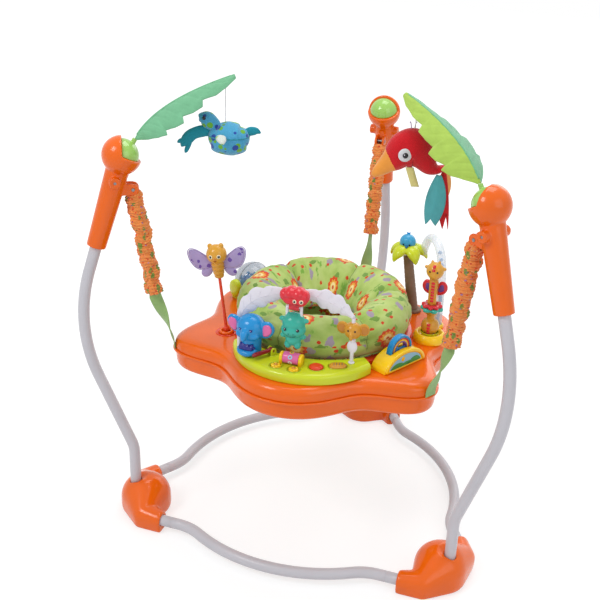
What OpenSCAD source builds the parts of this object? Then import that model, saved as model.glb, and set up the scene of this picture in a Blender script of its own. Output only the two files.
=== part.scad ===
// Free-standing baby activity jumper. A ring of three bowed floor tubes carries three bent posts.
// Sprung straps hang from the posts' ball heads and carry a moulded tray with a turning padded seat.
// Millimetres, +Z up. The origin is on the floor at the middle of the jumper's outline, and the child
// faces -Y. "Out" means away from the upright axis that the three posts stand around.

/* [Tubes] */
// Outside diameter of the posts and floor tubes
tube_d = 22; // [18:0.5:26]
// Wall of the tubes
tube_wall = 1.2; // [0.8:0.1:2]
// Radial clearance of a tube in its socket
tube_fit = 0.2; // [0.1:0.05:0.4]

/* [Posts] */
// Distance of a post's foot from the upright axis
post_foot_r = 385; // [370:1:400]
// Height where the straight lower end starts to bend out
post_knee_z = 135; // [120:1:150]
// Bend radius of the knee
post_knee_r = 80; // [60:1:100]
// Lean of the lower run, outwards from upright
post_lean_out = 20; // [15:0.5:24]
// Length of the lower run between knee and bow
post_lower_run = 167; // [150:1:185]
// Bend radius of the bow
post_bow_r = 350; // [320:1:380]
// Lean of the upper run, inwards from upright
post_lean_in = 17.4; // [14:0.2:20]
// Length of the upper run, from the bow to the middle of the ball head
post_upper_run = 229; // [215:1:245]

/* [Floor tubes] */
// Distance that the ends of the floor tubes stand in from their post
base_end_back = 6.66; // [4:0.01:10]
// Distance of a floor tube's end from the middle plane of its foot
base_end_side = 63.31; // [60:0.01:66]
// Height of the floor tubes' middle line
base_z = 24; // [22:0.5:28]
// Bend radius of the two easing bends
base_ease_r = 100; // [80:1:120]
// Angle of each easing bend
base_bend = 30; // [26:1:32]
// Length of the straight ends
base_run = 86; // [80:1:92]
// Length of a straight end that is held in its foot
base_grip = 50; // [44:1:56]

/* [Feet] */
// Radius of a foot's round outer end
foot_r = 52; // [46:1:58]
// Height of a foot
foot_h = 78; // [70:1:84]
// Distance that a foot's round end stands in from its post
foot_back = 20; // [14:1:26]
// Radius of a foot's arm round its floor tube
foot_arm_r = 18; // [15:0.5:20]
// Radius of a foot's shoulder round a floor tube's end
foot_heel_r = 24; // [22:0.5:27]
// Radius of the dish round the post
foot_dish_r = 40; // [34:1:44]
// Depth of the dish
foot_dish_h = 9; // [6:0.5:12]
// Height of the post's lower end
post_seat_z = 16; // [12:1:24]
// Diameter of the tubes' snap buttons
snap_d = 6; // [5:0.5:8]

/* [Spring housings] */
// Radius of the ball heads
ball_r = 36; // [33:0.5:40]
// Length of a housing from the ball's middle to its lower end
sleeve_len = 180; // [165:1:195]
// Diameter of a housing's lower end
sleeve_d_low = 36; // [32:0.5:40]
// Diameter of a housing under its ball
sleeve_d_top = 44; // [40:0.5:48]
// Length of a post held in its housing
sleeve_grip = 105; // [90:1:112]
// Distance of the cross barrel from the ball's middle
barrel_drop = 46; // [42:1:50]
// Diameter of the cross barrel
barrel_d = 21; // [18:0.5:24]
// Length of the cross barrel
barrel_len = 64; // [58:1:72]
// Radius of the dome in the ball's notch
dome_r = 31; // [27:0.5:33]
// Slope of the notch's floor
notch_slope = 27; // [20:1:32]

/* [Springs and straps] */
// Distance that a hanger pin stands in from the ball head's middle
hang_in = 17.55; // [14:0.01:22]
// Distance of a hanger pin under the ball head's middle
hang_drop = 62.18; // [57:0.01:68]
// Diameter of a hanger pin
hang_pin_d = 6; // [5:0.5:7]
// Distance of a spring's lower end out from the tray's lobe
spring_foot_out = 37; // [31:1:43]
// Height of a spring's lower end above the deck
spring_foot_up = 98; // [88:1:108]
// Wire diameter of the springs
spring_wire = 2.4; // [2:0.1:2.8]
// Middle radius of a spring's coils
spring_coil_r = 7.5; // [7:0.1:8]
// Number of a spring's curls
spring_curls = 9; // [8:1:11]
// Inside radius of the cloth spring covers
cover_in_r = 11; // [10.5:0.1:12]
// Outside radius of a cover at the top of a gather
cover_out_r = 18; // [16:0.5:20]
// Number of a cover's gathers
cover_gathers = 13; // [10:1:15]
// Width of the webbing straps
strap_w = 25; // [20:1:28]
// Thickness of the webbing
strap_t = 2; // [1.5:0.1:2.4]

/* [Leaves] */
// Half width of a leaf at its widest
leaf_half_w = 62; // [54:1:68]
// Thickness of a leaf
leaf_t = 3; // [2.4:0.2:4]
// Droop of a leaf's two halves
leaf_droop = 42; // [34:1:50]
// Diameter of a leaf's stem
stem_d = 9; // [8:0.5:11]

/* [Tray] */
// Radius of the tray at its three strap lobes
tray_lobe_r = 297; // [290:1:302]
// Radius of the tray between the lobes
tray_bulge_r = 276; // [270:1:282]
// Radius of the tray at its waists
tray_waist_r = 239; // [236:1:243]
// Radius of the hole for the seat
tray_hole_r = 172; // [170:0.5:174]
// Height of the tray's lower edge
tray_low_z = 335; // [328:1:342]
// Height of the parting line of the two shells
tray_part_z = 374; // [370:1:378]
// Height of the tray's deck
deck_z = 400; // [398:1:403]
// Wall of the tray's shells
tray_wall = 3; // [2.4:0.2:3.6]
// Gap between parts that move on each other
run_gap = 0.4; // [0.3:0.05:0.6]
// Radial clearance of a pin in its bore
pin_fit = 0.05; // [0.03:0.01:0.08]
// Gap between soft parts that are sewn or seated on each other
seat_fit = 0.2; // [0.1:0.05:0.3]

/* [Seat] */
// Outside radius of the seat ring's flange
seat_flange_r = 180; // [178:0.5:182]
// Thickness of the flange
seat_flange_t = 7; // [6:0.5:9]
// Middle radius of the ring cushion
cushion_r = 126; // [122:1:129]
// Half width of the cushion's section
cushion_half_w = 50; // [44:1:51]
// Height of the cushion behind the child
cushion_back_h = 90; // [80:1:100]
// Height of the cushion in front of the child
cushion_front_h = 76; // [66:1:86]
// Number of the cushion's sewn sections
cushion_sections = 6; // [5:1:8]
// Depth of the lowest point of the cloth sling under the deck
sling_drop = 120; // [100:1:130]
// Radius of a leg hole
leg_hole_r = 52; // [46:1:56]

/* [Sound panel] */
// Radius of the panel's outer edge
panel_r = 147; // [142:1:150]
// Height of the panel
panel_h = 20; // [18:0.5:22]
// Travel of the push buttons
button_travel = 3; // [2:0.5:4]
// Height of the white arch above the panel
arch_h = 126; // [118:1:134]

/* [Hidden] */
$fn = 48;

// Angles of the posts and of the outward normals of the three sides, about the upright axis
REAR = 90;
LEFT = 210;
RIGHT = 330;
FRONT_SIDE = 270;
LEFT_SIDE = 150;
RIGHT_SIDE = 30;

orange = [0.93, 0.42, 0.13];
red_orange = [0.87, 0.27, 0.12];
tube_white = [0.82, 0.81, 0.83];
steel = [0.7, 0.7, 0.72];
cap_green = [0.63, 0.84, 0.35];
mint = [0.47, 0.78, 0.57];
lime = [0.78, 0.85, 0.16];
cloth_green = [0.7, 0.78, 0.43];
cloth_orange = [0.97, 0.59, 0.29];
red = [0.87, 0.2, 0.25];
amber = [0.85, 0.6, 0.2];
yellow = [0.98, 0.8, 0.1];
blue = [0.1, 0.55, 0.8];
teal = [0.2, 0.69, 0.61];
white = [0.9, 0.88, 0.92];

// Where a post's bow and upper run end up, seen in the plane through the upright axis
bow_start_r = post_foot_r + post_knee_r * (1 - cos(post_lean_out)) + post_lower_run * sin(post_lean_out);
bow_start_z = post_knee_z + post_knee_r * sin(post_lean_out) + post_lower_run * cos(post_lean_out);
bow_mid_r = bow_start_r - post_bow_r * cos(post_lean_out);
bow_mid_z = bow_start_z + post_bow_r * sin(post_lean_out);
bow_end_r = bow_mid_r + post_bow_r * cos(post_lean_in);
bow_end_z = bow_mid_z + post_bow_r * sin(post_lean_in);
ball_at_r = bow_end_r - post_upper_run * sin(post_lean_in);
ball_at_z = bow_end_z + post_upper_run * cos(post_lean_in);
post_reach = bow_mid_r + post_bow_r;

// A floor tube's straight ends lie base_in from the upright axis, and its bow fills the run between them
base_in = (post_foot_r - base_end_back) * cos(60) + base_end_side * sin(60);
base_half = (post_foot_r - base_end_back) * sin(60) - base_end_side * cos(60);
base_bow_r = (base_half - base_run) / sin(base_bend) - base_ease_r;
base_reach = base_in + (base_ease_r + base_bow_r) * (1 - cos(base_bend));

// The upright axis stands in front of the origin, which is the middle of the outline
axis_y = (base_reach - post_reach) / 2;

// Turns a child drawn in a plane through the upright axis, with +X out, to stand at an angle round it
module round_axis(angle) translate([0, axis_y, 0]) rotate([0, 0, angle]) children();

// Solid skin over a row of rings with equally many points, closed by flat ends or run round to its start
module skin(rings, closed = false) {
    n = len(rings[0]);
    m = len(rings);
    last = closed ? m - 1 : m - 2;
    walls = [for (i = [0 : last], j = [0 : n - 1])
        let (a = i * n + j, b = i * n + (j + 1) % n, c = ((i + 1) % m) * n + j, d = ((i + 1) % m)
            * n + (j + 1) % n)
        each [[a, c, b], [b, c, d]]];
    ends = closed ? [] : [for (j = [1 : n - 2])
        each [[0, j, j + 1], [(m - 1) * n, (m - 1) * n + j + 1, (m - 1) * n + j]]];
    polyhedron([for (r = rings) each r], concat(walls, ends));
}

function unit(v) = v / norm(v);
function bezier(a, b, c, t) = a * (1 - t) * (1 - t) + b * 2 * t * (1 - t) + c * t * t;
function path_dir(path, i) = unit(path[min(i + 1, len(path) - 1)] - path[max(i - 1, 0)]);

// Rings of an oval section along a path; side is the section's level direction
function tube_rings(path, wide, deep, side, sides) = [for (i = [0 : len(path) - 1])
    let (up = unit(cross(path_dir(path, i), side)), w = is_list(wide) ? wide[i] : wide, d = is_list(deep)
        ? deep[i] : deep)
    [for (j = [0 : sides - 1]) path[i] + side * w * cos(360 * j / sides) + up * d * sin(360 * j / sides)]];

function reversed(list) = [for (i = [len(list) - 1 : -1 : 0]) list[i]];

// Hollow tube along a path that lies square to side
module bent_tube(path, side) {
    outer = tube_rings(path, tube_d / 2, tube_d / 2, side, 12);
    inner = tube_rings(path, tube_d / 2 - tube_wall, tube_d / 2 - tube_wall, side, 12);
    skin(concat(outer, reversed(inner)), closed = true);
}

// Frame

// Middle line of a post: straight foot, knee, lower run, bow and the upper run that ends inside its housing
post_top = post_upper_run - sleeve_len + sleeve_grip;
post_path = concat([[post_foot_r, 0, post_seat_z]],
    [for (k = [0 : 4]) let (a = post_lean_out * k / 4)
        [post_foot_r + post_knee_r * (1 - cos(a)), 0, post_knee_z + post_knee_r * sin(a)]],
    [for (k = [0 : 9]) let (a = post_lean_out - (post_lean_out + post_lean_in) * k / 9)
        [bow_mid_r + post_bow_r * cos(a), 0, bow_mid_z - post_bow_r * sin(a)]],
    [[bow_end_r - post_top * sin(post_lean_in), 0, bow_end_z + post_top * cos(post_lean_in)]]);

module post(angle) color(tube_white) round_axis(angle) bent_tube(post_path, [0, 1, 0]);

// Half of a floor tube's middle line, from its end in a foot to just before the middle of the bow
base_half_path = concat([[base_in, -base_half, base_z]],
    [for (k = [0 : 3]) let (a = base_bend * k / 3)
        [base_in + base_ease_r * (1 - cos(a)), base_run - base_half + base_ease_r * sin(a), base_z]],
    [for (k = [1 : 4]) let (a = base_bend * (1 - k / 5))
        [base_reach - base_bow_r * (1 - cos(a)), -base_bow_r * sin(a), base_z]]);
base_path = concat(base_half_path, [[base_reach, 0, base_z]],
    [for (p = reversed(base_half_path)) [p[0], -p[1], p[2]]]);

// Floor tube of one side, bowed out in the middle
module base_tube(angle) {
    color(tube_white) round_axis(angle) difference() {
        bent_tube(base_path, [0, 0, 1]);
        for (s = [-1, 1]) snap_button(s, snap_d + 2 * tube_fit);
    }
}

snap_low_z = 4;

// Snap button of a floor tube's end, on the tube's underside
module snap_button(s, d) {
    translate([base_in, s * (base_half - base_grip / 2), snap_low_z])
        cylinder(d = d, h = base_z - snap_low_z - tube_d / 4);
}

// Middle of a floor tube's mouth in its foot, in the foot's own plane
mouth_t = base_half - base_grip;
mouth_x = base_in * cos(60) + mouth_t * sin(60);
mouth_y = base_in * sin(60) - mouth_t * cos(60);

// Shoulder of a foot round a floor tube's end, from which its arm runs out
module foot_heel(s, edge) {
    translate([post_foot_r - base_end_back - 6, s * (base_end_side - 5), 0]) {
        cylinder(r = foot_heel_r - edge / 4, h = edge);
        translate([0, 0, base_z]) sphere(foot_heel_r);
    }
}

// Foot: a round end that carries the post and two arms that hold floor tubes
module foot(angle) {
    edge = 10;
    color(orange) difference() {
        round_axis(angle) difference() {
            for (s = [1, -1]) {
                hull($fn = 24) {
                    translate([post_foot_r - foot_back, 0, 0])
                        cylinder(r1 = foot_r - edge / 4, r2 = foot_r, h = edge);
                    translate([post_foot_r - foot_back, 0, foot_h - foot_r * 0.9]) scale([1, 1, 0.9])
                        sphere(foot_r);
                    foot_heel(s, edge);
                }
                hull($fn = 24) {
                    foot_heel(s, edge);
                    translate([mouth_x, s * mouth_y, base_z]) rotate([0, 0, s * 150]) rotate([0, 90, 0])
                        translate([0, 0, -edge]) cylinder(r = foot_arm_r, h = edge);
                    translate([mouth_x, s * mouth_y, 0]) rotate([0, 0, s * 150])
                        translate([-edge, -foot_arm_r * 0.8, 0])
                        cube([edge, foot_arm_r * 1.6, edge]);
                }
            }
            translate([post_foot_r, 0, post_seat_z]) cylinder(d = tube_d + 2 * tube_fit, h = foot_h);
            translate([post_foot_r, 0, foot_h + foot_dish_r - foot_dish_h]) sphere(foot_dish_r);
            for (s = [1, -1]) rotate([0, 0, s * 60]) translate([base_in, -s * base_half, base_z])
                rotate([-s * 90, 0, 0]) cylinder(d = tube_d + 2 * tube_fit, h = base_run);
        }
        round_axis(angle) translate([0, -post_foot_r, -foot_h]) cube([2 * post_foot_r, 2 * post_foot_r, foot_h]);
        for (s = [1, -1]) round_axis(angle + s * 60) snap_button(-s, snap_d + 2 * tube_fit);
        for (s = [1, -1]) round_axis(angle + s * 60)
            translate([base_in, -s * (base_half - base_grip / 2), -1])
                cylinder(d = snap_d + 2 * tube_fit, h = snap_low_z + 2);
    }
}

// Places a child at a ball head's middle, upright
module at_ball(angle) round_axis(angle) translate([ball_at_r, 0, ball_at_z]) children();

// Notch of a ball head, an upright wall and a floor that slopes down towards the upright axis
module notch(size) {
    corner_x = -1;
    corner_z = 5;
    rotate([90, 0, 0]) linear_extrude(4 * size, center = true)
        polygon([[corner_x, corner_z], [corner_x, 2 * size],
        [-2 * size, 2 * size], [-2 * size, corner_z - (2 * size + corner_x) * tan(notch_slope)]]);
}

lug_w = 22;
lug_slot = 12;
hang_at = [ball_at_r - hang_in, 0, ball_at_z - hang_drop];

screw_d = 6;
screw_len = 8;

// Housing: tapered tube over the post, ball head, cross barrel and the slotted lug of the hanger pin
module sleeve(angle) {
    color(orange) difference() {
        union() {
            at_ball(angle) difference() {
                union() {
                    sphere(ball_r);
                    rotate([0, -post_lean_in, 0]) {
                        translate([0, 0, -sleeve_len]) cylinder(d1 = sleeve_d_low, d2 = sleeve_d_top,
                            h = sleeve_len - ball_r / 2);
                        translate([0, 0, -barrel_drop]) rotate([90, 0, 0])
                            cylinder(d = barrel_d, h = barrel_len, center = true);
                    }
                }
                notch(ball_r);
            }
            round_axis(angle) translate(hang_at) {
                translate([0, -lug_w / 2, -lug_w / 2]) cube([hang_in + sleeve_d_top / 4, lug_w, lug_w]);
                rotate([90, 0, 0]) cylinder(d = lug_w, h = lug_w, center = true);
            }
        }
        at_ball(angle) rotate([0, -post_lean_in, 0]) {
            translate([0, 0, -sleeve_len - 1]) cylinder(d = tube_d + 2 * tube_fit,
                h = sleeve_grip + 1 + tube_fit);
            for (s = [-1, 1]) translate([0, 0, -barrel_drop]) rotate([s * 90, 0, 0])
                translate([0, 0, barrel_len / 2 - screw_len])
                cylinder(d = screw_d, h = screw_len + 1);
        }
        round_axis(angle) translate(hang_at) {
            translate([-lug_w, -lug_slot / 2, -lug_w]) cube([lug_w * 1.5, lug_slot, 2 * lug_w]);
            rotate([90, 0, 0]) cylinder(d = hang_pin_d, h = 2 * lug_w, center = true);
        }
    }
}

// Hanger pins, barrel screws and snap buttons
module frame_fasteners() {
    color(steel) {
        for (angle = [REAR, LEFT, RIGHT]) {
            round_axis(angle) translate(hang_at) rotate([90, 0, 0])
                cylinder(d = hang_pin_d, h = lug_w, center = true);
            at_ball(angle) rotate([0, -post_lean_in, 0]) for (s = [-1, 1])
                translate([0, 0, -barrel_drop]) rotate([s * 90, 0, 0])
                translate([0, 0, barrel_len / 2 - screw_len]) cylinder(d = screw_d, h = screw_len - 2);
        }
        for (angle = [FRONT_SIDE, LEFT_SIDE, RIGHT_SIDE]) round_axis(angle) for (s = [-1, 1])
            snap_button(s, snap_d);
    }
}

// Dome that fills a ball head's notch
module dome() {
    intersection() {
        sphere(dome_r);
        notch(ball_r);
    }
}

module cap_rear() color(cap_green) at_ball(REAR) dome();

// Midrib of a leaf in the plane through the upright axis, from its stem to its tip
leaf_root = [-25, 0, 30];
leaf_bend = [-62, 0, 97];
leaf_tip = [-203, 0, 144];
function midrib(t) = bezier(leaf_root, leaf_bend, leaf_tip, t);

// Hub: the dome with the stem that the leaf is pushed onto
module leaf_hub(angle) {
    color(cap_green) at_ball(angle) {
        dome();
        way = midrib(0.05) - leaf_root;
        lean = atan2(-way[0], way[2]);
        translate(leaf_root) rotate([0, -lean, 0]) translate([0, 0, -stem_d * 2])
            cylinder(d = stem_d, h = stem_d * 2);
    }
}

// Half width along a leaf: it swells from the stem, steps in at three notches and narrows to the tip
leaf_steps = [[0, 0.07], [0.1, 0.5], [0.2, 0.8], [0.31, 0.98], [0.33, 0.78], [0.42, 0.95], [0.52, 1],
    [0.54, 0.74],
              [0.63, 0.8], [0.72, 0.76], [0.74, 0.5], [0.84, 0.5], [0.93, 0.36], [1, 0.12]];

// Leaf: a cloth blade folded along its midrib, with notched edges that droop
module leaf(angle) {
    rings = [for (step = leaf_steps)
        let (t = step[0], w = leaf_half_w * step[1],
            way = unit(midrib(min(t + 0.02, 1)) - midrib(max(t - 0.02, 0))),
             up = [way[2], 0, -way[0]], over = up[2] < 0 ? -up : up, at = midrib(t) + way * run_gap,
             fall = over * (w * sin(leaf_droop)), side = [0, w * cos(leaf_droop), 0], thick = over * leaf_t)
        [at + thick / 2, at - fall + side, at - fall + side - thick, at - thick / 2,
            at - fall - side - thick, at - fall - side]];
    color(angle == LEFT ? mint : lime) at_ball(angle) skin(rings);
}

// Springs, covers and straps, drawn in the plane through the upright axis

spring_foot = [tray_lobe_r + spring_foot_out, 0, deck_z + spring_foot_up];
spring_way = unit(spring_foot - hang_at);
spring_side = [-spring_way[2], 0, spring_way[0]];
spring_top = hang_pin_d / 2 + spring_wire / 2 + run_gap;
spring_span = norm(spring_foot - hang_at) - spring_top;
spring_neck_r = lug_slot / 2 - spring_wire / 2 - 2 * run_gap;
curl_steps = 8;

// Middle line of a spring: its first two curls and its last two are narrower
spring_path = [for (i = [0 : spring_curls * curl_steps])
    let (turn = i / curl_steps, near_end = min(turn, spring_curls - turn) / 2,
         r = near_end < 1 ? spring_neck_r + (spring_coil_r - spring_neck_r) * near_end : spring_coil_r,
         along = spring_top + spring_span * turn / spring_curls)
    hang_at + spring_way * along + r * cos(360 * turn) * [0, 1, 0] + r * sin(360 * turn) * spring_side];

// Least gap between a spring's curls, from points half a curl or more apart
spring_self_gap = min([for (i = [0 : len(spring_path) - 1], j = [i + curl_steps / 2 : len(spring_path) - 1])
    if (j < len(spring_path)) norm(spring_path[i] - spring_path[j])]) - spring_wire;
echo(spring_self_gap = spring_self_gap);

module bounce_springs() {
    color(steel) for (angle = [REAR, LEFT, RIGHT]) round_axis(angle)
        skin(tube_rings(spring_path, spring_wire / 2, spring_wire / 2, spring_way, 6));
}

cover_start = lug_w / 2 + 2;
cover_end = spring_top + spring_span + 6;

// Cloth covers, gathered into rings of folds, round the springs
module spring_covers() {
    pleats = 2 * cover_gathers;
    mouth = cover_in_r + 2;
    path = [for (i = [0 : pleats + 2]) hang_at + spring_way * (cover_start + (cover_end - cover_start)
        * i / (pleats + 2))];
    radii = [for (i = [0 : pleats + 2]) i == 0 || i == pleats + 2 ? mouth
        : i % 2 == 1 ? cover_out_r - 1.5 * sin(i * 70) : cover_out_r - 4];
    color(cloth_orange) for (angle = [REAR, LEFT, RIGHT]) round_axis(angle) difference() {
        skin(tube_rings(path, radii, radii, [0, 1, 0], 12));
        translate(hang_at) rotate([0, atan2(spring_way[0], spring_way[2]), 0])
            cylinder(r = cover_in_r, h = cover_end + 10);
    }
}

// Flat webbing from a spring's lower end to the rim of the tray's lobe
module hanging_straps() {
    tongue = hang_at + spring_way * (cover_end - 4);
    shoulder = hang_at + spring_way * (cover_end + 2);
    wall_r = tray_lobe_r + strap_t / 2 + run_gap;
    path = [tongue, shoulder, shoulder + spring_way * strap_w / 2, [wall_r + 1, 0, deck_z - 10],
        [wall_r, 0, deck_z - 18],
            [wall_r, 0, tray_part_z + run_gap]];
    tongue_half = cover_in_r - seat_fit;
    half = [tongue_half, tongue_half, strap_w / 2, strap_w / 2, strap_w / 2, strap_w / 2];
    rings = [for (i = [0 : len(path) - 1]) let (y = [0, half[i], 0], x = [strap_t / 2, 0, 0])
        [path[i] - y - x, path[i] + y - x, path[i] + y + x, path[i] - y + x]];
    color(mint) for (angle = [REAR, LEFT, RIGHT]) round_axis(angle) skin(rings);
}

// Hanging toys. u runs to the right as the toys face, along the line of sight's level direction

string_d = 1.5;
turtle_route = [[-170, -183, 896.9], [-170, -183, 876], [-170, -183, 858], [-170, -183, 840],
    [-170, -183, 822]];
parrot_route = [[181, -189, 892.8], [181, -189, 880], [181, -189, 869], [181, -189, 858], [181, -189, 847]];
toy_turn = 17.5;
turtle_shift = [-5, -1];
parrot_shift = [6, 6.8];

module toy_string(route) color(white) skin(tube_rings(route, string_d / 2, string_d / 2, [1, 0, 0], 8));

// Hangs a toy from the end of its string; shift is [u, z] and puts its weight under the string
module under_string(route, shift) {
    translate(route[len(route) - 1]) rotate([0, 0, toy_turn]) translate([shift[0], 0, shift[1]]) children();
}

// Stuffed form along a spine in the toy's XZ plane. Each station is [u, z, half depth, half height]
module stuffed(stations, sides = 12) {
    path = [for (s = stations) [s[0], 0, s[1]]];
    skin(tube_rings(path, [for (s = stations) s[2]], [for (s = stations) s[3]], [0, 1, 0], sides));
}

turtle_len = 76;
turtle_half_h = 31;
turtle_mid = [11, -29.6];

module turtle_shell(grow) {
    profile = [for (a = [-84 : 24 : 84]) [sin(a), cos(a)]];
    stuffed([for (p = profile) [turtle_mid[0] + p[0] * (turtle_len / 2 + grow), turtle_mid[1],
                                p[1] * (turtle_half_h + grow), p[1] * (turtle_half_h + grow)]]);
}

module turtle_skull(grow) {
    stuffed([[-42, 4, 2 + grow, 3 + grow], [-38, 5, 9 + grow, 10 + grow], [-28, 3, 14 + grow, 15 + grow],
             [-18, -4, 13 + grow, 13 + grow], [-10, -12, 10 + grow, 10 + grow],
                 [-4, -20, 8 + grow, 8 + grow]]);
}

module turtle_body() color(blue) under_string(turtle_route, turtle_shift) turtle_shell(0);

module turtle_head() {
    color(blue) under_string(turtle_route, turtle_shift) difference() {
        turtle_skull(0);
        turtle_shell(seat_fit);
    }
}

module turtle_flippers() {
    color(teal) under_string(turtle_route, turtle_shift) difference() {
        union() {
            stuffed([[-20, -22, 6, 8], [-36, -18, 6, 11], [-54, -24, 5, 11], [-68, -36, 5, 12],
                [-76, -48, 3, 5]], 8);
            stuffed([[38, -20, 5, 7], [50, -15, 5, 9], [60, -14, 4, 7], [68, -17, 2, 3]], 8);
            for (s = [-1, 1]) translate([s > 0 ? 16 : -6, s * 24, -24]) rotate([0, 0, s * 70])
                stuffed([[0, 0, 8, 5], [12, 2, 10, 6], [22, -2, 8, 5], [28, -6, 3, 2]], 8);
        }
        turtle_shell(seat_fit);
        turtle_skull(seat_fit);
    }
}

parrot_spine = [[-80, -88, 3, 3], [-66, -78, 8, 9], [-48, -65, 14, 16], [-38, -56, 19, 23],
    [-22, -40, 25, 31],
                [-4, -37, 27, 34], [12, -52, 23, 28], [24, -68, 18, 20], [36, -72, 11, 9], [47, -69, 12, 5], [58, -66, 11, 3]];

module parrot_form(grow) stuffed([for (s = parrot_spine) [s[0], s[1], s[2] + grow, s[3] + grow]]);

module parrot_body() color(red) under_string(parrot_route, parrot_shift) parrot_form(0);

// Cloth feather that hangs in a fold from its narrow root; size is [width, length, thickness]
module feather(root, lean, turn, size) {
    steps = [0, 0.08, 0.22, 0.42, 0.62, 0.82, 1];
    rings = [for (t = steps)
        let (w = size[0] / 2 * pow(sin(10 + 145 * t), 0.8),
             drop = [lean * t * t * size[1] / 100, 0, -t * size[1]],
             fold = [0, w * 0.25, 0], wide = [w, 0, 0], thick = [0, size[2], 0])
        [drop - wide, drop - wide + thick, drop - fold + thick,
         drop + wide + thick, drop + wide, drop - fold]];
    translate(root) rotate([0, 0, turn]) skin(rings);
}

// Heights of the roots, just under the parrot's underside
wing_root_z = -79.9;
ribbon_root_z = -74.7;
plume_root_z = -72.4;

// Wing feather, forked ribbon and short feather, sewn to the parrot's underside
module parrot_tail() {
    color(teal) under_string(parrot_route, parrot_shift) {
        feather([40, -8, wing_root_z], -8, -20, [36, 92, 2.5]);
        feather([50, -1, ribbon_root_z], 10, 4, [20, 106, 2]);
        feather([53, 8, plume_root_z], 4, 24, [26, 54, 2]);
    }
}

// Tray. The outline is a round with three strap lobes at the posts and three wide bulges between them

lobe_pinch = 6.3;
// Angle from the rear post, eased so that the lobes are narrower than the bulges
function post_offset(a) = a - REAR + lobe_pinch * sin(3 * (a - REAR));
tray_mean = ((tray_lobe_r + tray_bulge_r) / 2 + tray_waist_r) / 2;
tray_six = ((tray_lobe_r + tray_bulge_r) / 2 - tray_waist_r) / 2;
tray_three = (tray_lobe_r - tray_bulge_r) / 2;
function tray_r(a) = tray_mean + tray_three * cos(3 * post_offset(a)) + tray_six * cos(6 * post_offset(a));
// The shoulder is narrow on the bulges and wide on the lobes
function shoulder(a) = 14 + 10 * (1 + cos(3 * post_offset(a)));
tray_steps = 72;
function tray_ring(inset, slope, z) = [for (i = [0 : tray_steps - 1])
    let (a = -360 * i / tray_steps, r = tray_r(a) - inset - slope * shoulder(a))
        [r * cos(a), r * sin(a), z]];
function hole_ring(r, z) = [for (i = [0 : tray_steps - 1])
    let (a = -360 * i / tray_steps) [r * cos(a), r * sin(a), z]];

deck_low = deck_z - tray_wall;
collar_r = tray_hole_r + tray_wall;
rise = deck_z - tray_part_z;

// Top shell: wall, rounded shoulder, flat deck and a collar round the seat's hole
module tray_shell_top() {
    skin([tray_ring(0, 0, tray_part_z), tray_ring(0, 0, tray_part_z + rise * 0.35),
        tray_ring(0, 0.2, deck_z - rise * 0.32),
          tray_ring(0, 0.55, deck_z - rise * 0.1), tray_ring(0, 1, deck_z), hole_ring(tray_hole_r, deck_z),
          hole_ring(tray_hole_r, tray_part_z), hole_ring(collar_r, tray_part_z),
              hole_ring(collar_r, deck_low),
          tray_ring(tray_wall, 1, deck_low), tray_ring(tray_wall, 0.2, deck_z - rise * 0.42),
          tray_ring(tray_wall, 0, tray_part_z)], closed = true);
}

module tray_top() {
    color(orange) translate([0, axis_y, 0]) difference() {
        tray_shell_top();
        translate([ball_at[0], ball_at[1], deck_low - 1]) cylinder(r = bead_ball_r * 0.8, h = tray_wall + 2);
    }
}

rim_out = 4;
rim_t = 4;
floor_z = tray_low_z + tray_wall;

tray_screw_d = 5;
tray_screw_r = 205;

// Bottom shell: rim at the parting line, rounded pan and the inner collar
module tray_base() {
    color(orange) translate([0, axis_y, 0]) difference() {
        skin([tray_ring(-rim_out, 0, tray_part_z), tray_ring(-rim_out, 0, tray_part_z - rim_t),
            tray_ring(1, 0, tray_part_z - rim_t - 2),
              tray_ring(3, 0, tray_low_z + 10), tray_ring(10, 0, tray_low_z),
                  hole_ring(tray_hole_r, tray_low_z),
              hole_ring(tray_hole_r, tray_part_z), hole_ring(collar_r, tray_part_z),
                  hole_ring(collar_r, floor_z),
              tray_ring(12, 0, floor_z), tray_ring(3 + tray_wall, 0, tray_low_z + 12),
                  tray_ring(tray_wall, 0, tray_part_z)],
             closed = true);
        at_tray_screws() translate([0, 0, tray_low_z - 1]) cylinder(d = tray_screw_d, h = tray_wall + 2);
    }
}

// Places a child at each screw of the tray's floor, between the lobes
module at_tray_screws() for (a = [LEFT_SIDE, FRONT_SIDE, RIGHT_SIDE]) rotate([0, 0, a])
    translate([tray_screw_r, 0, 0]) children();

module tray_screws() {
    head_h = 3;
    color(steel) translate([0, axis_y, 0]) at_tray_screws() {
        translate([0, 0, tray_low_z]) cylinder(d = tray_screw_d, h = 12);
        translate([0, 0, tray_low_z - head_h]) cylinder(d = tray_screw_d * 2, h = head_h);
    }
}

// Seat

seat_skirt_r = tray_hole_r - 2 * run_gap;
seat_inner_r = seat_skirt_r - 10;
seat_low_z = tray_low_z + 10;
seat_top_z = deck_z + run_gap + seat_flange_t;

// Seat ring: a flange that turns on the deck's edge and a skirt inside the hole
module seat_ring() {
    color(red_orange) translate([0, axis_y, 0]) rotate_extrude($fn = 96)
        polygon([[seat_inner_r, seat_low_z],
        [seat_skirt_r, seat_low_z], [seat_skirt_r, deck_z + run_gap], [seat_flange_r, deck_z + run_gap],
        [seat_flange_r, seat_top_z - 2], [seat_flange_r - 2, seat_top_z], [seat_inner_r, seat_top_z]]);
}

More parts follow.
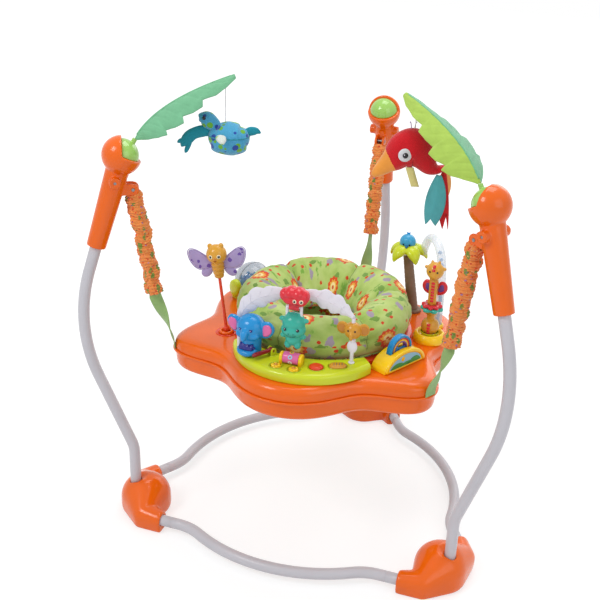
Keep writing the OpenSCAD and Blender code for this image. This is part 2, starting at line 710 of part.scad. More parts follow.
// Ring cushion: a crowned bolster whose sides are drawn in at the sewn seams between its sections
module seat_cushion() {
    per_section = 8;
    around = cushion_sections * per_section;
    // Section as shares of the half width and of the height: outer side, crest, long inner slope, flat base
    outline = [[1.02, 0.43], [0.98, 0.62], [0.84, 0.8], [0.6, 0.93], [0.28, 1], [-0.08, 0.97], [-0.44, 0.86],
        [-0.76, 0.69], [-1, 0.5], [-1.16, 0.31], [-1.16, 0.16], [-1.06, 0.06], [-0.62, 0], [0, 0], [0.62, 0],
        [0.92, 0.19]];
    function seam(j) = pow(abs(sin(180 * j / per_section)), 0.6);
    function height(a) = (cushion_back_h + cushion_front_h) / 2 + (cushion_back_h - cushion_front_h) / 2 * sin(a);
    function section(full, h) = [for (p = outline) p[1] == 0 ? [cushion_half_w * p[0], 0]
        : [cushion_half_w * p[0] * (0.86 + 0.14 * full), h * p[1] * (0.92 + 0.08 * full)]];
    color(cloth_green) translate([0, axis_y, seat_top_z]) skin([for (j = [0 : around - 1])
        let (a = 360 * j / around)
        [for (p = section(seam(j), height(a))) [(cushion_r + p[0]) * cos(a), (cushion_r + p[0]) * sin(a), p[1]]]],
            closed = true);
}

sling_t = 4;

// Cloth sling: a bowl hung inside the seat ring, with two leg holes
module seat_sling() {
    around = 24;
    top_r = seat_inner_r - run_gap;
    low_z = deck_z - sling_drop;
    function bowl(r, z) = [for (i = [0 : around - 1]) let (a = -360 * i / around)
        [r * cos(a), r * sin(a), z]];
    color(cloth_green) translate([0, axis_y, 0]) difference() {
        skin([bowl(1, low_z), bowl(top_r * 0.45, low_z + 6),
            bowl(top_r * 0.82, low_z + sling_drop * 0.35), bowl(top_r, deck_z - 20),
              bowl(top_r, seat_top_z - run_gap), bowl(top_r - sling_t, seat_top_z - run_gap),
                  bowl(top_r - sling_t, deck_z - 20),
              bowl(top_r * 0.82 - sling_t, low_z + sling_drop * 0.35 + sling_t),
                  bowl(top_r * 0.45 - sling_t, low_z + 6 + sling_t),
              bowl(1, low_z + sling_t)], closed = false);
        for (s = [-1, 1]) translate([s * top_r * 0.62, -top_r * 0.5, low_z + sling_drop * 0.36])
            rotate([70, 0, s * 30])
            cylinder(r = leg_hole_r * 0.8, h = top_r, center = true);
    }
}

// Toys. Places on the tray are [x, y] from the upright axis

// Puts a child on the tray, turned so that its own -Y faces out
module on_tray(place, turn, z) translate([place[0], axis_y + place[1], z]) rotate([0, 0, turn]) children();

panel_top = deck_z + panel_h;
panel_mid = [8, -105];
panel_from = 231;
panel_to = 313;
panel_round = 9;
flower_left_at = [-14, -229];
flower_right_at = [21, -231];
red_at = [56, -208];
amber_at = [91, -189];
amber_turn = 25;
flower_r = 10;
red_r = 13;
amber_r = 10;
amber_half = 6;
button_deep = 8;
button_proud = 5;

module panel_blank() {
    far = 2 * panel_r;
    intersection() {
        translate([panel_mid[0], axis_y + panel_mid[1], deck_z]) rotate_extrude($fn = 96) {
            square([panel_r - panel_round, panel_h]);
            square([panel_r, panel_h - panel_round]);
            translate([panel_r - panel_round, panel_h - panel_round]) intersection() {
                circle(panel_round);
                square(panel_round);
            }
        }
        translate([0, axis_y, deck_z]) linear_extrude(panel_h)
            polygon([[0, 0], far * [cos(panel_from), sin(panel_from)], far * [0, -1.4],
                far * [cos(panel_to), sin(panel_to)]]);
    }
}

roller_at = [10, -212];
roller_r = 11;
roller_half = 15;
roller_z = panel_top + roller_r + 1;
axle_r = 3;
cheek_t = 5;

// Two cheeks that hold the picture roller's axle
module roller_cheeks() {
    on_tray(roller_at, 0, roller_z) for (s = [-1, 1])
        translate([s * (roller_half + run_gap + cheek_t / 2), 0, 0]) difference() {
        union() {
            rotate([0, 90, 0]) cylinder(r = roller_r - 1, h = cheek_t, center = true);
            translate([-cheek_t / 2, -roller_r + 1, panel_top - roller_z])
                cube([cheek_t, 2 * roller_r - 2, roller_z - panel_top]);
        }
        rotate([0, 90, 0]) cylinder(r = axle_r + pin_fit, h = 2 * cheek_t, center = true);
    }
}

lever_at = [-37, -192];
lever_turn = -122;
lever_r = 5;
lever_len = 40;
lever_z = panel_top + 10;
lever_hub_w = 8;
ear_t = 3;

// Two ears that hold the lever's hub
module lever_ears() {
    on_tray(lever_at, lever_turn, lever_z) for (s = [-1, 1])
        translate([0, s * (lever_hub_w / 2 + run_gap + ear_t / 2), 0]) difference() {
        union() {
            rotate([90, 0, 0]) cylinder(r = lever_r + 1, h = ear_t, center = true);
            translate([-lever_r - 1, -ear_t / 2, panel_top - lever_z])
                cube([2 * lever_r + 2, ear_t, lever_z - panel_top]);
        }
        rotate([90, 0, 0]) cylinder(r = axle_r - 1 + pin_fit, h = 2 * ear_t, center = true);
    }
}

// Sound panel: a crescent on the front of the deck with wells for the buttons
module music_panel() {
    well_z = panel_top - button_deep - button_travel - 1;
    color(lime) difference() {
        union() {
            panel_blank();
            roller_cheeks();
            lever_ears();
        }
        translate([0, axis_y, deck_z - 1]) cylinder(r = seat_flange_r + 3, h = panel_h + 2, $fn = 96);
        for (place = [flower_left_at, flower_right_at]) on_tray(place, 0, well_z)
            cylinder(r = flower_r + run_gap, h = panel_h);
        on_tray(red_at, 0, well_z) cylinder(r = red_r + run_gap, h = panel_h);
        on_tray(amber_at, amber_turn, well_z) oval(amber_half, amber_r + run_gap, panel_h);
    }
}

// Round-ended bar on its flat side
module oval(half, r, h) {
    for (s = [-1, 1]) translate([s * half, 0, 0]) cylinder(r = r, h = h);
    translate([-half, -r, 0]) cube([2 * half, 2 * r, h]);
}

// Outline with rounded petals; dip is the depth of the dents between them
function petals(r, count, dip) = [for (i = [0 : 47]) let (a = 360 * i / 48)
    (r - dip * (1 - cos(count * a)) / 2) * [cos(a), sin(a)]];

// Flower button: six petals round a raised middle
module flower_button(place) {
    color(yellow) on_tray(place, 0, panel_top - button_deep) {
        linear_extrude(button_deep + button_proud - 2) polygon(petals(flower_r, 6, flower_r * 0.3));
        cylinder(r = flower_r * 0.5, h = button_deep + button_proud);
    }
}

module button_red() {
    color(red_orange) on_tray(red_at, 0, panel_top - button_deep) {
        cylinder(r = red_r, h = button_deep + button_proud - 2);
        cylinder(r = red_r - 2, h = button_deep + button_proud);
    }
}

module button_amber() {
    color(amber) on_tray(amber_at, amber_turn, panel_top - button_deep) {
        oval(amber_half, amber_r, button_deep + button_proud - 2);
        oval(amber_half, amber_r - 2, button_deep + button_proud);
    }
}

arch_at = [6, -174];
arch_turn = 4.6;
arch_half = 112;
rod_d = 7;
band_half_t = 4;
bead_low = 49;
bead_high = 83;
rod_x = 104;

// Middle line of the white arch, from its left foot over the top to the right rod's head
arch_path = concat([for (t = [0 : 0.5 : 1]) [-arch_half, 0, 44 * t]],
    [for (t = [0.15 : 0.15 : 0.9]) bezier([-arch_half, 0, 44], [-arch_half + 4, 0, arch_h - 10],
        [0, 0, arch_h], t)],
    [for (t = [0 : 0.2 : 1]) bezier([0, 0, arch_h], [rod_x * 0.62, 0, arch_h],
        [rod_x, 0, bead_high + 8], t)]);
arch_deep = [4, 4, 5, 8, 12, 15, 16, 12, 8, 8, 10, 15, 16, 12, 5];

// White arch over the panel: a leafy band, and a rod on the right with a paddle and a collar under its bead
module toy_arch() {
    paddle_r = 9;
    color(white) on_tray(arch_at, arch_turn, panel_top) {
        skin(tube_rings(arch_path, band_half_t, arch_deep, [0, 1, 0], 8));
        translate([rod_x, 0, 0]) {
            cylinder(d = rod_d, h = bead_high + 8);
            translate([0, 0, bead_low - 4 - paddle_r]) rotate([90, 0, 0])
                cylinder(r = paddle_r, h = rod_d - 1, center = true);
            translate([0, 0, bead_low - 4]) cylinder(r = rod_d - 1, h = 4 - run_gap);
        }
    }
}

bug_r = 20;
bug_y = -band_half_t - run_gap - bug_r;
bug_z = arch_h + 2;
swing_y = bug_y - 2;
swing_z = bug_z - 19;

swing_rod_x = 13;
bug_lug_r = 7;

// Red bug on the arch's middle: a lumpy body and head, and under them the lug that is bored for the swing's bar
module arch_bug() {
    lug_half = swing_rod_x - axle_r - run_gap;
    color(red) on_tray(arch_at, arch_turn, panel_top) difference() {
        union() {
            translate([0, bug_y, bug_z]) stuffed([[-23, 1, 5, 4], [-20, 2, 12, 10], [-13, 3, 17, 15], [-5, 1, 18, 15],
                [3, 0, bug_r, 15], [11, 1, 18, 16], [18, 0, 13, 12], [22, -1, 6, 5]]);
            translate([0, swing_y, swing_z]) rotate([0, 90, 0])
                cylinder(r = bug_lug_r, h = 2 * lug_half, center = true);
        }
        translate([0, swing_y, swing_z]) rotate([0, 90, 0])
            cylinder(r = axle_r + pin_fit, h = 4 * bug_r, center = true);
    }
}

hippo_r = 22;
hippo_body_r = 17;

// Hippo on its swing: a bar through the bug, two rods, head, body, ears, arms and feet
module swing_hippo() {
    head_z = swing_z - 33;
    body_z = head_z - 26;
    color(teal) on_tray(arch_at, arch_turn, panel_top) translate([0, swing_y, 0]) {
        translate([0, 0, swing_z]) rotate([0, 90, 0])
            cylinder(r = axle_r, h = 2 * swing_rod_x, center = true);
        for (s = [-1, 1]) {
            translate([s * swing_rod_x, 0, body_z]) cylinder(r = axle_r, h = swing_z - body_z + axle_r);
            translate([s * hippo_r * 0.6, 0, head_z + hippo_r * 0.85]) sphere(4.5);
            translate([s * (hippo_body_r + 3), 0, body_z + 6]) sphere(6);
            translate([s * hippo_body_r * 0.58, 0, body_z - hippo_body_r - 5]) cylinder(r = 7, h = 10);
        }
        translate([0, 0, head_z]) sphere(hippo_r);
        translate([0, 0, body_z]) cylinder(r = hippo_body_r, h = head_z - body_z);
        translate([0, 0, body_z]) sphere(hippo_body_r);
    }
}

elephant_at = [-76, -197];
elephant_turn = -6;
elephant_r = 26;
ear_r = 18;
mouth_r = 10;
mouth_half = 13;
mouth_at = [0, -15, 17];

// Elephant head: skull, trunk, two ears and the jaw that holds the mouth roller
module elephant() {
    skull_z = 50;
    color(blue) on_tray(elephant_at, elephant_turn, panel_top) difference() {
        union() {
            translate([0, 0, skull_z]) sphere(elephant_r);
            cylinder(r = elephant_r - 6, h = skull_z);
            translate([0, -elephant_r + 3, skull_z - 6]) sphere(9);
            for (s = [-1, 1]) translate([s * (elephant_r + 6), -2, skull_z + 3]) rotate([90, 0, 0])
                cylinder(r = ear_r, h = 8, center = true);
        }
        translate(mouth_at) rotate([0, 90, 0]) {
            cylinder(r = mouth_r + 2 * run_gap, h = 2 * mouth_half + 2 * run_gap, center = true);
            cylinder(r = axle_r + pin_fit, h = 2 * mouth_half + 8, center = true);
        }
        translate([mouth_at[0] - mouth_half - run_gap, mouth_at[1] - 3 * mouth_r, mouth_at[2] - mouth_r])
            cube([2 * mouth_half + 2 * run_gap, 3 * mouth_r, 2 * mouth_r]);
    }
}

module elephant_roller() {
    color([0.16, 0.18, 0.5]) on_tray(elephant_at, elephant_turn, panel_top) translate(mouth_at)
        rotate([0, 90, 0]) {
        cylinder(r = mouth_r, h = 2 * mouth_half, center = true);
        cylinder(r = axle_r, h = 2 * mouth_half + 6, center = true);
    }
}

module picture_roller() {
    color([0.88, 0.35, 0.62]) on_tray(roller_at, 0, roller_z) rotate([0, 90, 0]) {
        cylinder(r = roller_r, h = 2 * roller_half, center = true);
        cylinder(r = axle_r, h = 2 * (roller_half + cheek_t), center = true);
    }
}

module panel_lever() {
    color([0.55, 0.08, 0.14]) on_tray(lever_at, lever_turn, lever_z) {
        rotate([90, 0, 0]) cylinder(r = lever_r, h = lever_hub_w, center = true);
        rotate([90, 0, 0]) cylinder(r = axle_r - 1, h = lever_hub_w + 2 * ear_t, center = true);
        rotate([0, 90, 0]) cylinder(r = lever_hub_w / 2, h = lever_len);
        translate([lever_len, 0, 0]) sphere(lever_hub_w / 2);
    }
}

// Amber bead, an elephant's head with two flat ears, that turns on the arch's rod
module amber_bead() {
    bead_r = (bead_high - bead_low) / 2 - run_gap;
    color(amber) on_tray(arch_at, arch_turn, panel_top)
        translate([rod_x, 0, (bead_low + bead_high) / 2]) difference() {
        union() {
            sphere(bead_r);
            for (s = [-1, 1]) translate([s * bead_r, 0, 2]) rotate([90, 0, 0])
                cylinder(r = bead_r * 0.8, h = rod_d, center = true);
        }
        cylinder(d = rod_d + 2 * pin_fit, h = 4 * bead_r, center = true);
    }
}

stalk_at = [-169, -99];
stalk_lean = 7;
stalk_ball_r = 7;
stalk_r = 3;
stalk_len = 110;

// Places a child in the leaning stalk's own frame, at the middle of its ball
module on_stalk() on_tray(stalk_at, 12, deck_z + stalk_ball_r + run_gap) rotate([0, -stalk_lean, 0])
    children();

// Springy stalk with a ball end that rests on the deck
module butterfly_stalk() {
    color(red_orange) on_stalk() {
        sphere(stalk_ball_r);
        cylinder(r = stalk_r, h = stalk_len + 10);
    }
}

butterfly_head_r = 20;
butterfly_body_r = 12;

module butterfly_form(grow) {
    translate([0, 0, stalk_len + butterfly_body_r]) sphere(butterfly_body_r + grow);
    translate([0, 0, stalk_len + 2 * butterfly_body_r]) sphere(butterfly_body_r + 1 + grow);
    translate([0, 0, stalk_len + 3 * butterfly_body_r + butterfly_head_r * 0.6])
        sphere(butterfly_head_r + grow);
}

module butterfly() {
    horn_z = stalk_len + 3 * butterfly_body_r + butterfly_head_r * 1.4;
    color(amber) on_stalk() difference() {
        union() {
            butterfly_form(0);
            for (s = [-1, 1]) translate([s * butterfly_head_r * 0.55, 0, horn_z]) sphere(5.5);
        }
        cylinder(r = stalk_r + pin_fit, h = stalk_len + 10 + run_gap);
    }
}

// Cloth wings, padded, two on each side of the body
module butterfly_wings() {
    mid_z = stalk_len + 2 * butterfly_body_r;
    color([0.67, 0.59, 0.8]) on_stalk() difference() {
        for (s = [0, 1]) mirror([s, 0, 0]) {
            stuffed([[8, mid_z + 2, 2, 5], [22, mid_z + 9, 4, 11], [38, mid_z + 17, 4, 14],
                [50, mid_z + 22, 3, 11], [56, mid_z + 25, 1.5, 4]], 8);
            stuffed([[8, mid_z - 2, 2, 4], [18, mid_z - 8, 3.5, 9], [28, mid_z - 14, 3.5, 9],
                [35, mid_z - 18, 1.5, 4]], 8);
        }
        butterfly_form(seat_fit);
    }
}

ball_turn = 152;
ball_out = 222;
ball_at = ball_out * [cos(ball_turn), sin(ball_turn)];
bead_ball_r = 40;
bead_ball_z = deck_z + 30;
bead_ball_wall = 2;
ball_axle_r = 4;
bracket_t = 9;

// Clear hollow ball that turns on two stubs
module bead_ball() {
    color([0.8, 0.88, 0.92, 0.5]) on_tray(ball_at, ball_turn, bead_ball_z) difference() {
        union() {
            sphere(bead_ball_r);
            rotate([90, 0, 0]) cylinder(r = ball_axle_r, h = 2 * (bead_ball_r + run_gap + bracket_t),
                center = true);
        }
        sphere(bead_ball_r - bead_ball_wall);
    }
}

// Two posts beside the ball, bored for its stubs
module ball_bracket() {
    rise_z = bead_ball_z - deck_z;
    color(lime) on_tray(ball_at, ball_turn, bead_ball_z) for (s = [-1, 1])
        translate([0, s * (bead_ball_r + 2 * run_gap + bracket_t / 2), 0]) difference() {
            union() {
                rotate([90, 0, 0]) cylinder(r = bracket_t + 1, h = bracket_t, center = true);
                translate([-bracket_t - 1, -bracket_t / 2, -rise_z])
                    cube([2 * bracket_t + 2, bracket_t, rise_z]);
            }
            rotate([90, 0, 0]) cylinder(r = ball_axle_r + pin_fit, h = 2 * bracket_t, center = true);
        }
}

rainbow_turn = 332.4;
rainbow_out = 205;
rainbow_at = rainbow_out * [cos(rainbow_turn), sin(rainbow_turn)];
rainbow_half = 57;
rainbow_h = 34;
rainbow_deep = 36;
wheel_r = 29;
wheel_in_r = 15;
wheel_t = 12;
wheel_z = 30;

// Base of the rainbow, with sloping ends and a slot for the wheel
module rainbow_base() {
    slot = wheel_t + 2 * run_gap;
    color(yellow) on_tray(rainbow_at, rainbow_turn + 90, deck_z) difference() {
        rotate([90, 0, 0]) linear_extrude(rainbow_deep, center = true)
            polygon([for (a = [0 : 12 : 180]) [rainbow_half * cos(a), rainbow_h * sin(a)]]);
        translate([-wheel_r - 1, -slot / 2, -1]) cube([2 * wheel_r + 2, slot, rainbow_h + 2]);
        translate([0, 0, wheel_z]) rotate([90, 0, 0])
            cylinder(r = axle_r - 1 + pin_fit, h = rainbow_deep + 2, center = true);
    }
}

// Rainbow wheel: a ring on two spokes, with a hub on stubs in the base
module rainbow_arch() {
    color(blue) on_tray(rainbow_at, rainbow_turn + 90, deck_z) translate([0, 0, wheel_z])
        rotate([90, 0, 0]) {
        difference() {
            cylinder(r = wheel_r, h = wheel_t, center = true);
            cylinder(r = wheel_in_r, h = 2 * wheel_t, center = true);
        }
        translate([-wheel_in_r - 1, -3, -wheel_t / 2]) cube([2 * wheel_in_r + 2, 6, wheel_t]);
        cylinder(r = axle_r - 1, h = rainbow_deep - 4, center = true);
    }
}

tower_at = [213, 30];
pole_r = 5;
giraffe_sleeve_r = pole_r + 3;
tower_foot_r = 27;
bulb_r = 18;
bulb_z = 30;
ring_r = 23;
ring_t = 7;
ring_z = 64;
neck_z = ring_z + 2 * ring_t + 3 * run_gap;
giraffe_head_r = 18;
giraffe_head_z = 146;

// Tower base: a stepped foot and the pole
module tower_base() {
    color(yellow) on_tray(tower_at, 0, deck_z) {
        cylinder(r = tower_foot_r, h = 7);
        cylinder(r1 = tower_foot_r - 4, r2 = pole_r + 4, h = bulb_z - bulb_r - run_gap);
        cylinder(r = pole_r, h = giraffe_head_z);
    }
}

// Amber giraffe that turns on the pole: round body, sleeve through the rings, neck and head
module giraffe() {
    color(amber) on_tray(tower_at, 0, deck_z) difference() {
        union() {
            translate([0, 0, bulb_z]) sphere(bulb_r);
            translate([0, 0, bulb_z]) cylinder(r = giraffe_sleeve_r, h = neck_z - bulb_z);
            translate([0, 0, ring_z - run_gap - ring_t]) cylinder(r = pole_r + 7, h = ring_t);
            translate([-8, -8, neck_z]) cube([16, 16, giraffe_head_z - neck_z]);
            translate([0, 0, giraffe_head_z]) sphere(giraffe_head_r);
            translate([0, 0, giraffe_head_z + giraffe_head_r]) sphere(5);
        }
        cylinder(r = pole_r + pin_fit, h = giraffe_head_z + run_gap);
    }
}

// Two flower rings that turn on the giraffe's sleeve, the upper one with petals behind the neck
module tower_rings() {
    petal_y = 14;
    petal_t = 4;
    color(red) on_tray(tower_at, 0, deck_z) {
        difference() {
            union() {
                translate([0, 0, ring_z]) linear_extrude(ring_t) polygon(petals(ring_r, 6, ring_r * 0.25));
                translate([0, 0, ring_z + ring_t]) linear_extrude(ring_t) polygon(petals(ring_r - 2, 8, ring_r * 0.25));
            }
            translate([0, 0, ring_z - 1]) cylinder(r = giraffe_sleeve_r + pin_fit, h = 2 * ring_t + 2);
        }
        translate([-6, petal_y - petal_t / 2, ring_z + ring_t + 1]) cube([12, petal_t, 34]);
        for (s = [-1, 1]) translate([s * 12, petal_y, ring_z + 44]) rotate([90, 0, 0])
            cylinder(r = 13, h = petal_t - 1, center = true);
    }
}

palm_at = [150, 152];
palm_lean = [-22, 12, 118];
trunk_r = 12;
trunk_top_r = trunk_r - 2;
palm_tilt = atan2(norm([palm_lean[0], palm_lean[1]]), palm_lean[2]);

// Leaning palm trunk on a wider foot
module palm_trunk() {
    color([0.51, 0.41, 0.33]) on_tray(palm_at, 0, deck_z) {
        cylinder(r = trunk_r + 6, h = 6);
        start = trunk_r * tan(palm_tilt);
        rotate([0, palm_tilt, atan2(palm_lean[1], palm_lean[0])]) translate([0, 0, start])
            cylinder(r1 = trunk_r, r2 = trunk_top_r, h = norm(palm_lean) - start);
    }
}

crown_r = 15;
frond_len = 40;
bird_r = 16;

tube_r = 9;
tube_start = [158, 172, 125];
tube_crest = [194, 132, 166];
tube_foot = [216, 92];
tube_knee_z = 96;
bead_path = concat([for (t = [0 : 0.2 : 1]) bezier(tube_start, tube_start + [10, -2, 57], tube_crest, t)],
    [for (t = [0.2 : 0.2 : 1]) bezier(tube_crest, tube_crest + [22, -36, -16],
        [tube_foot[0], tube_foot[1], tube_knee_z], t)],
    [[tube_foot[0], tube_foot[1], 0]]);

module bead_form(grow) {
    on_tray([0, 0], 0, deck_z) skin(tube_rings(bead_path, tube_r + grow, tube_r + grow,
        unit([1, 0.9, 0]), 10));
}

// Crown: five fronds that droop round a bird's head, cut to sit on the trunk and round the bead tube
module palm_crown() {
    seat = trunk_top_r * sin(palm_tilt) + seat_fit;
    color(lime) difference() {
        on_tray(palm_at, 0, deck_z) translate(palm_lean + [0, 0, crown_r]) {
            sphere(crown_r);
            for (i = [0 : 4]) rotate([0, 0, 72 * i + 20]) rotate([0, 112, 0])
                cylinder(r1 = crown_r - 2, r2 = 5, h = frond_len);
            translate([0, 0, crown_r]) sphere(bird_r);
        }
        on_tray(palm_at, 0, deck_z) translate([0, 0, palm_lean[2] + seat - 3 * bird_r])
            cylinder(r = 5 * bird_r, h = 3 * bird_r);
        bead_form(seat_fit);
    }
}

// Clear tube of beads, bent over from the palm to the tray
module bead_tube() color([0.9, 0.93, 0.96, 0.5]) bead_form(0);

foot(LEFT);  // foot_left
foot(RIGHT);  // foot_right
foot(REAR);  // foot_rear
base_tube(FRONT_SIDE);  // base_tube_front
base_tube(LEFT_SIDE);  // base_tube_left
base_tube(RIGHT_SIDE);  // base_tube_right
post(LEFT);  // post_left
post(RIGHT);  // post_right
post(REAR);  // post_rear
sleeve(LEFT);  // sleeve_left
sleeve(RIGHT);  // sleeve_right
sleeve(REAR);  // sleeve_rear
frame_fasteners();
cap_rear();
bounce_springs();
spring_covers();
leaf_hub(LEFT);  // leaf_hub_left
leaf_hub(RIGHT);  // leaf_hub_right
leaf(LEFT);  // leaf_left
leaf(RIGHT);  // leaf_right
toy_string(turtle_route);  // turtle_string
turtle_body();
turtle_head();
turtle_flippers();
toy_string(parrot_route);  // parrot_string
parrot_body();
parrot_tail();
tray_top();
tray_base();
tray_screws();
hanging_straps();
seat_ring();
seat_cushion();
seat_sling();
music_panel();
flower_button(flower_left_at);  // button_flower_left
flower_button(flower_right_at);  // button_flower_right
button_red();
button_amber();
toy_arch();
arch_bug();
swing_hippo();
elephant();
elephant_roller();
picture_roller();
panel_lever();
amber_bead();
butterfly_stalk();
butterfly();
butterfly_wings();
bead_ball();
ball_bracket();
rainbow_base();
rainbow_arch();
tower_base();
giraffe();
tower_rings();
palm_trunk();
palm_crown();
bead_tube();
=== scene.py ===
# Looks of the baby activity jumper: smooth mouldings, cloth, plush and procedural materials, in the CAD frame.
from math import atan2, cos, pi, radians, sin, sqrt

import bmesh
import bpy
from mathutils import Matrix, Vector, noise


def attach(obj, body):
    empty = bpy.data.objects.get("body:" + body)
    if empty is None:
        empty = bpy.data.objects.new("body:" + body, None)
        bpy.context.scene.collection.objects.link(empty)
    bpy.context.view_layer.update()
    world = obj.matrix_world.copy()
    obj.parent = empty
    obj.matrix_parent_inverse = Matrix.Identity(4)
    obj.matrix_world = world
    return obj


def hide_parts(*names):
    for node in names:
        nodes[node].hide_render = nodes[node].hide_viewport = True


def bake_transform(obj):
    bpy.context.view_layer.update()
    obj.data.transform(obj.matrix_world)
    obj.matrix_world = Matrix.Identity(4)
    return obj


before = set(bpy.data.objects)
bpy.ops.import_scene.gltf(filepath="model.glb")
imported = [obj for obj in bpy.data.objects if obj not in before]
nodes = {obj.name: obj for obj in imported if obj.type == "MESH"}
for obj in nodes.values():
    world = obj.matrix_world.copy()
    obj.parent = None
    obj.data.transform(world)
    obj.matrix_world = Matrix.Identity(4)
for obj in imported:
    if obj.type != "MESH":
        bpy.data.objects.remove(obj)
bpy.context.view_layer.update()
MM = 0.001
AXIS_Y = -0.08389      # the upright axis of tray and seat
DECK = 0.4             # height of the tray's top
SEAT_TOP = 0.4074      # height of the seat ring's top
PANEL_TOP = 0.42       # height of the sound panel's top
POSTS = {"rear": 90, "left": 210, "right": 330}
SIDES = ((-1, "left"), (1, "right"))
ENDS = ((-1, "front"), (1, "back"))
Y = Vector((0, 1, 0))


# Mesh helpers, in metres

def link(name, mesh):
    o = bpy.data.objects.new(name, mesh)
    bpy.context.scene.collection.objects.link(o)
    return o


def turns(n):
    """n angles, evenly round."""
    return [2 * pi * j / n for j in range(n)]


def loft(rings, closed=False, caps=True, round_rings=True):
    """Faces over rows of points. closed joins the last row to the first, round_rings closes each row."""
    n, m = len(rings[0]), len(rings)
    verts = [Vector(p) for r in rings for p in r]
    faces = []
    for i in range(m if closed else m - 1):
        for j in range(n if round_rings else n - 1):
            a, b = i * n + j, i * n + (j + 1) % n
            c, d = ((i + 1) % m) * n + (j + 1) % n, ((i + 1) % m) * n + j
            faces.append((a, b, c, d))
    if caps and not closed and round_rings:
        faces.append(tuple(range(n - 1, -1, -1)))
        faces.append(tuple((m - 1) * n + j for j in range(n)))
    return verts, faces


def frames(path, side=None):
    """Two directions across a path at each point, carried along it without twist."""
    pts = [Vector(p) for p in path]
    out = []
    ref = Vector(side) if side else None
    for i, p in enumerate(pts):
        d = (pts[min(i + 1, len(pts) - 1)] - pts[max(i - 1, 0)]).normalized()
        if ref is None:
            ref = Vector((0, 0, 1)) if abs(d.z) < 0.9 else Vector((1, 0, 0))
        u = (ref - d * ref.dot(d)).normalized()
        if side is None:
            ref = u
        out.append((p, u, d.cross(u)))
    return out


def sweep(path, wide, deep=None, sides=24, side=None, caps=True, lump=None):
    """Tube along a path; wide and deep are half sizes, numbers or one per point."""
    rings = []
    for i, (p, u, w) in enumerate(frames(path, side)):
        a = wide[i] if hasattr(wide, "__len__") else wide
        b = a if deep is None else (deep[i] if hasattr(deep, "__len__") else deep)
        ring = []
        for t in turns(sides):
            k = lump(i / max(1, len(path) - 1), t) if lump else 1
            ring.append(p + u * (a * k * cos(t)) + w * (b * k * sin(t)))
        rings.append(ring)
    return loft(rings, caps=caps)


def moved(part, m):
    return [m @ Vector(p) for p in part[0]], part[1]


def join(*parts):
    verts, faces = [], []
    for v, f in parts:
        k = len(verts)
        verts += list(v)
        faces += [tuple(i + k for i in q) for q in f]
    return verts, faces


def spline(points, i, t):
    """Point at t after point i of a closed smooth curve."""
    p0, p1, p2, p3 = (Vector(points[(i + d) % len(points)]) for d in (-1, 0, 1, 2))
    return 0.5 * (2 * p1 + (p2 - p0) * t + (2 * p0 - 5 * p1 + 4 * p2 - p3) * t * t
                  + (3 * p1 - p0 - 3 * p2 + p3) * t ** 3)


def bez(a, b, c, t):
    a, b, c = Vector(a), Vector(b), Vector(c)
    return a * (1 - t) ** 2 + b * (2 * t * (1 - t)) + c * t * t


def between(table, t):
    """Value at t in a table of (place, value)."""
    for (a, x), (b, y) in zip(table, table[1:]):
        if t <= b:
            return x + (y - x) * (t - a) / (b - a)
    return table[-1][1]


def shift(x, y, z):
    """Move, in metres."""
    return Matrix.Translation((x, y, z))


def spin(angle, axis="Z"):
    return Matrix.Rotation(radians(angle), 4, axis)


def round_axis(angle):
    """From the plane through the upright axis, +X out, to its place round the axis."""
    return shift(0, AXIS_Y, 0) @ spin(angle)


def on_tray(at, turn, z):
    return shift(at[0], AXIS_Y + at[1], z) @ spin(turn)


# Mesh helpers, in millimetres

def mm(*v):
    return Vector(v) * MM


def scaled(v):
    return [c * MM for c in v] if hasattr(v, "__len__") else v * MM


def tube(path, wide, sides, deep=None, **how):
    """Sweep along a path, in millimetres."""
    return sweep([mm(*p) for p in path], scaled(wide), deep if deep is None else scaled(deep), sides, **how)


def lathe(profile, seg=48, closed=False):
    """Turned form about Z from (radius, height) pairs."""
    return loft([[mm(r * cos(t), r * sin(t), z) for t in turns(seg)] for r, z in profile], closed)


def ball(at, size, seg=28, rows=16, turn=None):
    """Ellipsoid with half sizes; turn is an angle and its axis."""
    x, y, z = size if hasattr(size, "__len__") else (size,) * 3
    rings = []
    for i in range(rows + 1):
        t = pi * (0.02 + 0.96 * i / rows)
        rings.append([mm(x * sin(t) * cos(a), y * sin(t) * sin(a), -z * cos(t)) for a in turns(seg)])
    m = Matrix.Rotation(turn[0], 4, turn[1]) if turn else Matrix()
    return moved(loft(rings), Matrix.Translation(mm(*at)) @ m)


def pair(at, size, tilt=0.0):
    """Two balls, left and right; tilt leans them outward, in radians."""
    return [ball((s * at[0], *at[1:]), size, turn=(s * tilt, "Y")) for s, _ in SIDES]


def disc(at, r, t, way, seg=32, dome=0.3):
    """Round plate with a soft edge; way is the direction that its face looks in."""
    prof = [(0.02 * r, t / 2 + dome), (r * 0.55, t / 2 + dome * 0.8), (r * 0.86, t / 2 + dome * 0.2),
            (r * 0.96, t / 2 - 0.18 * t), (r, 0.1 * t), (r, -0.2 * t), (r * 0.97, -t / 2), (0.02 * r, -t / 2)]
    m = Matrix.Translation(mm(*at)) @ Vector(way).to_track_quat("Z", "Y").to_matrix().to_4x4()
    return moved(lathe(prof, seg), m)


def rod(a, b, r, sides=24):
    """Round bar between two points, with softened ends."""
    a, b = mm(*a), mm(*b)
    d = (b - a).length
    at = [0, 0.0004, 0.0015, d - 0.0015, d - 0.0004, d]
    wide = [r - 0.9, r - 0.25, r, r, r - 0.25, r - 0.9]
    return sweep([a.lerp(b, t / d) for t in at], [max(0.2, q) * MM for q in wide], sides=sides)


def smooth_loop(points, per=6):
    """Closed smooth curve through (u, z) points."""
    return [tuple(spline(points, i, k / per)) for i in range(len(points)) for k in range(per)]


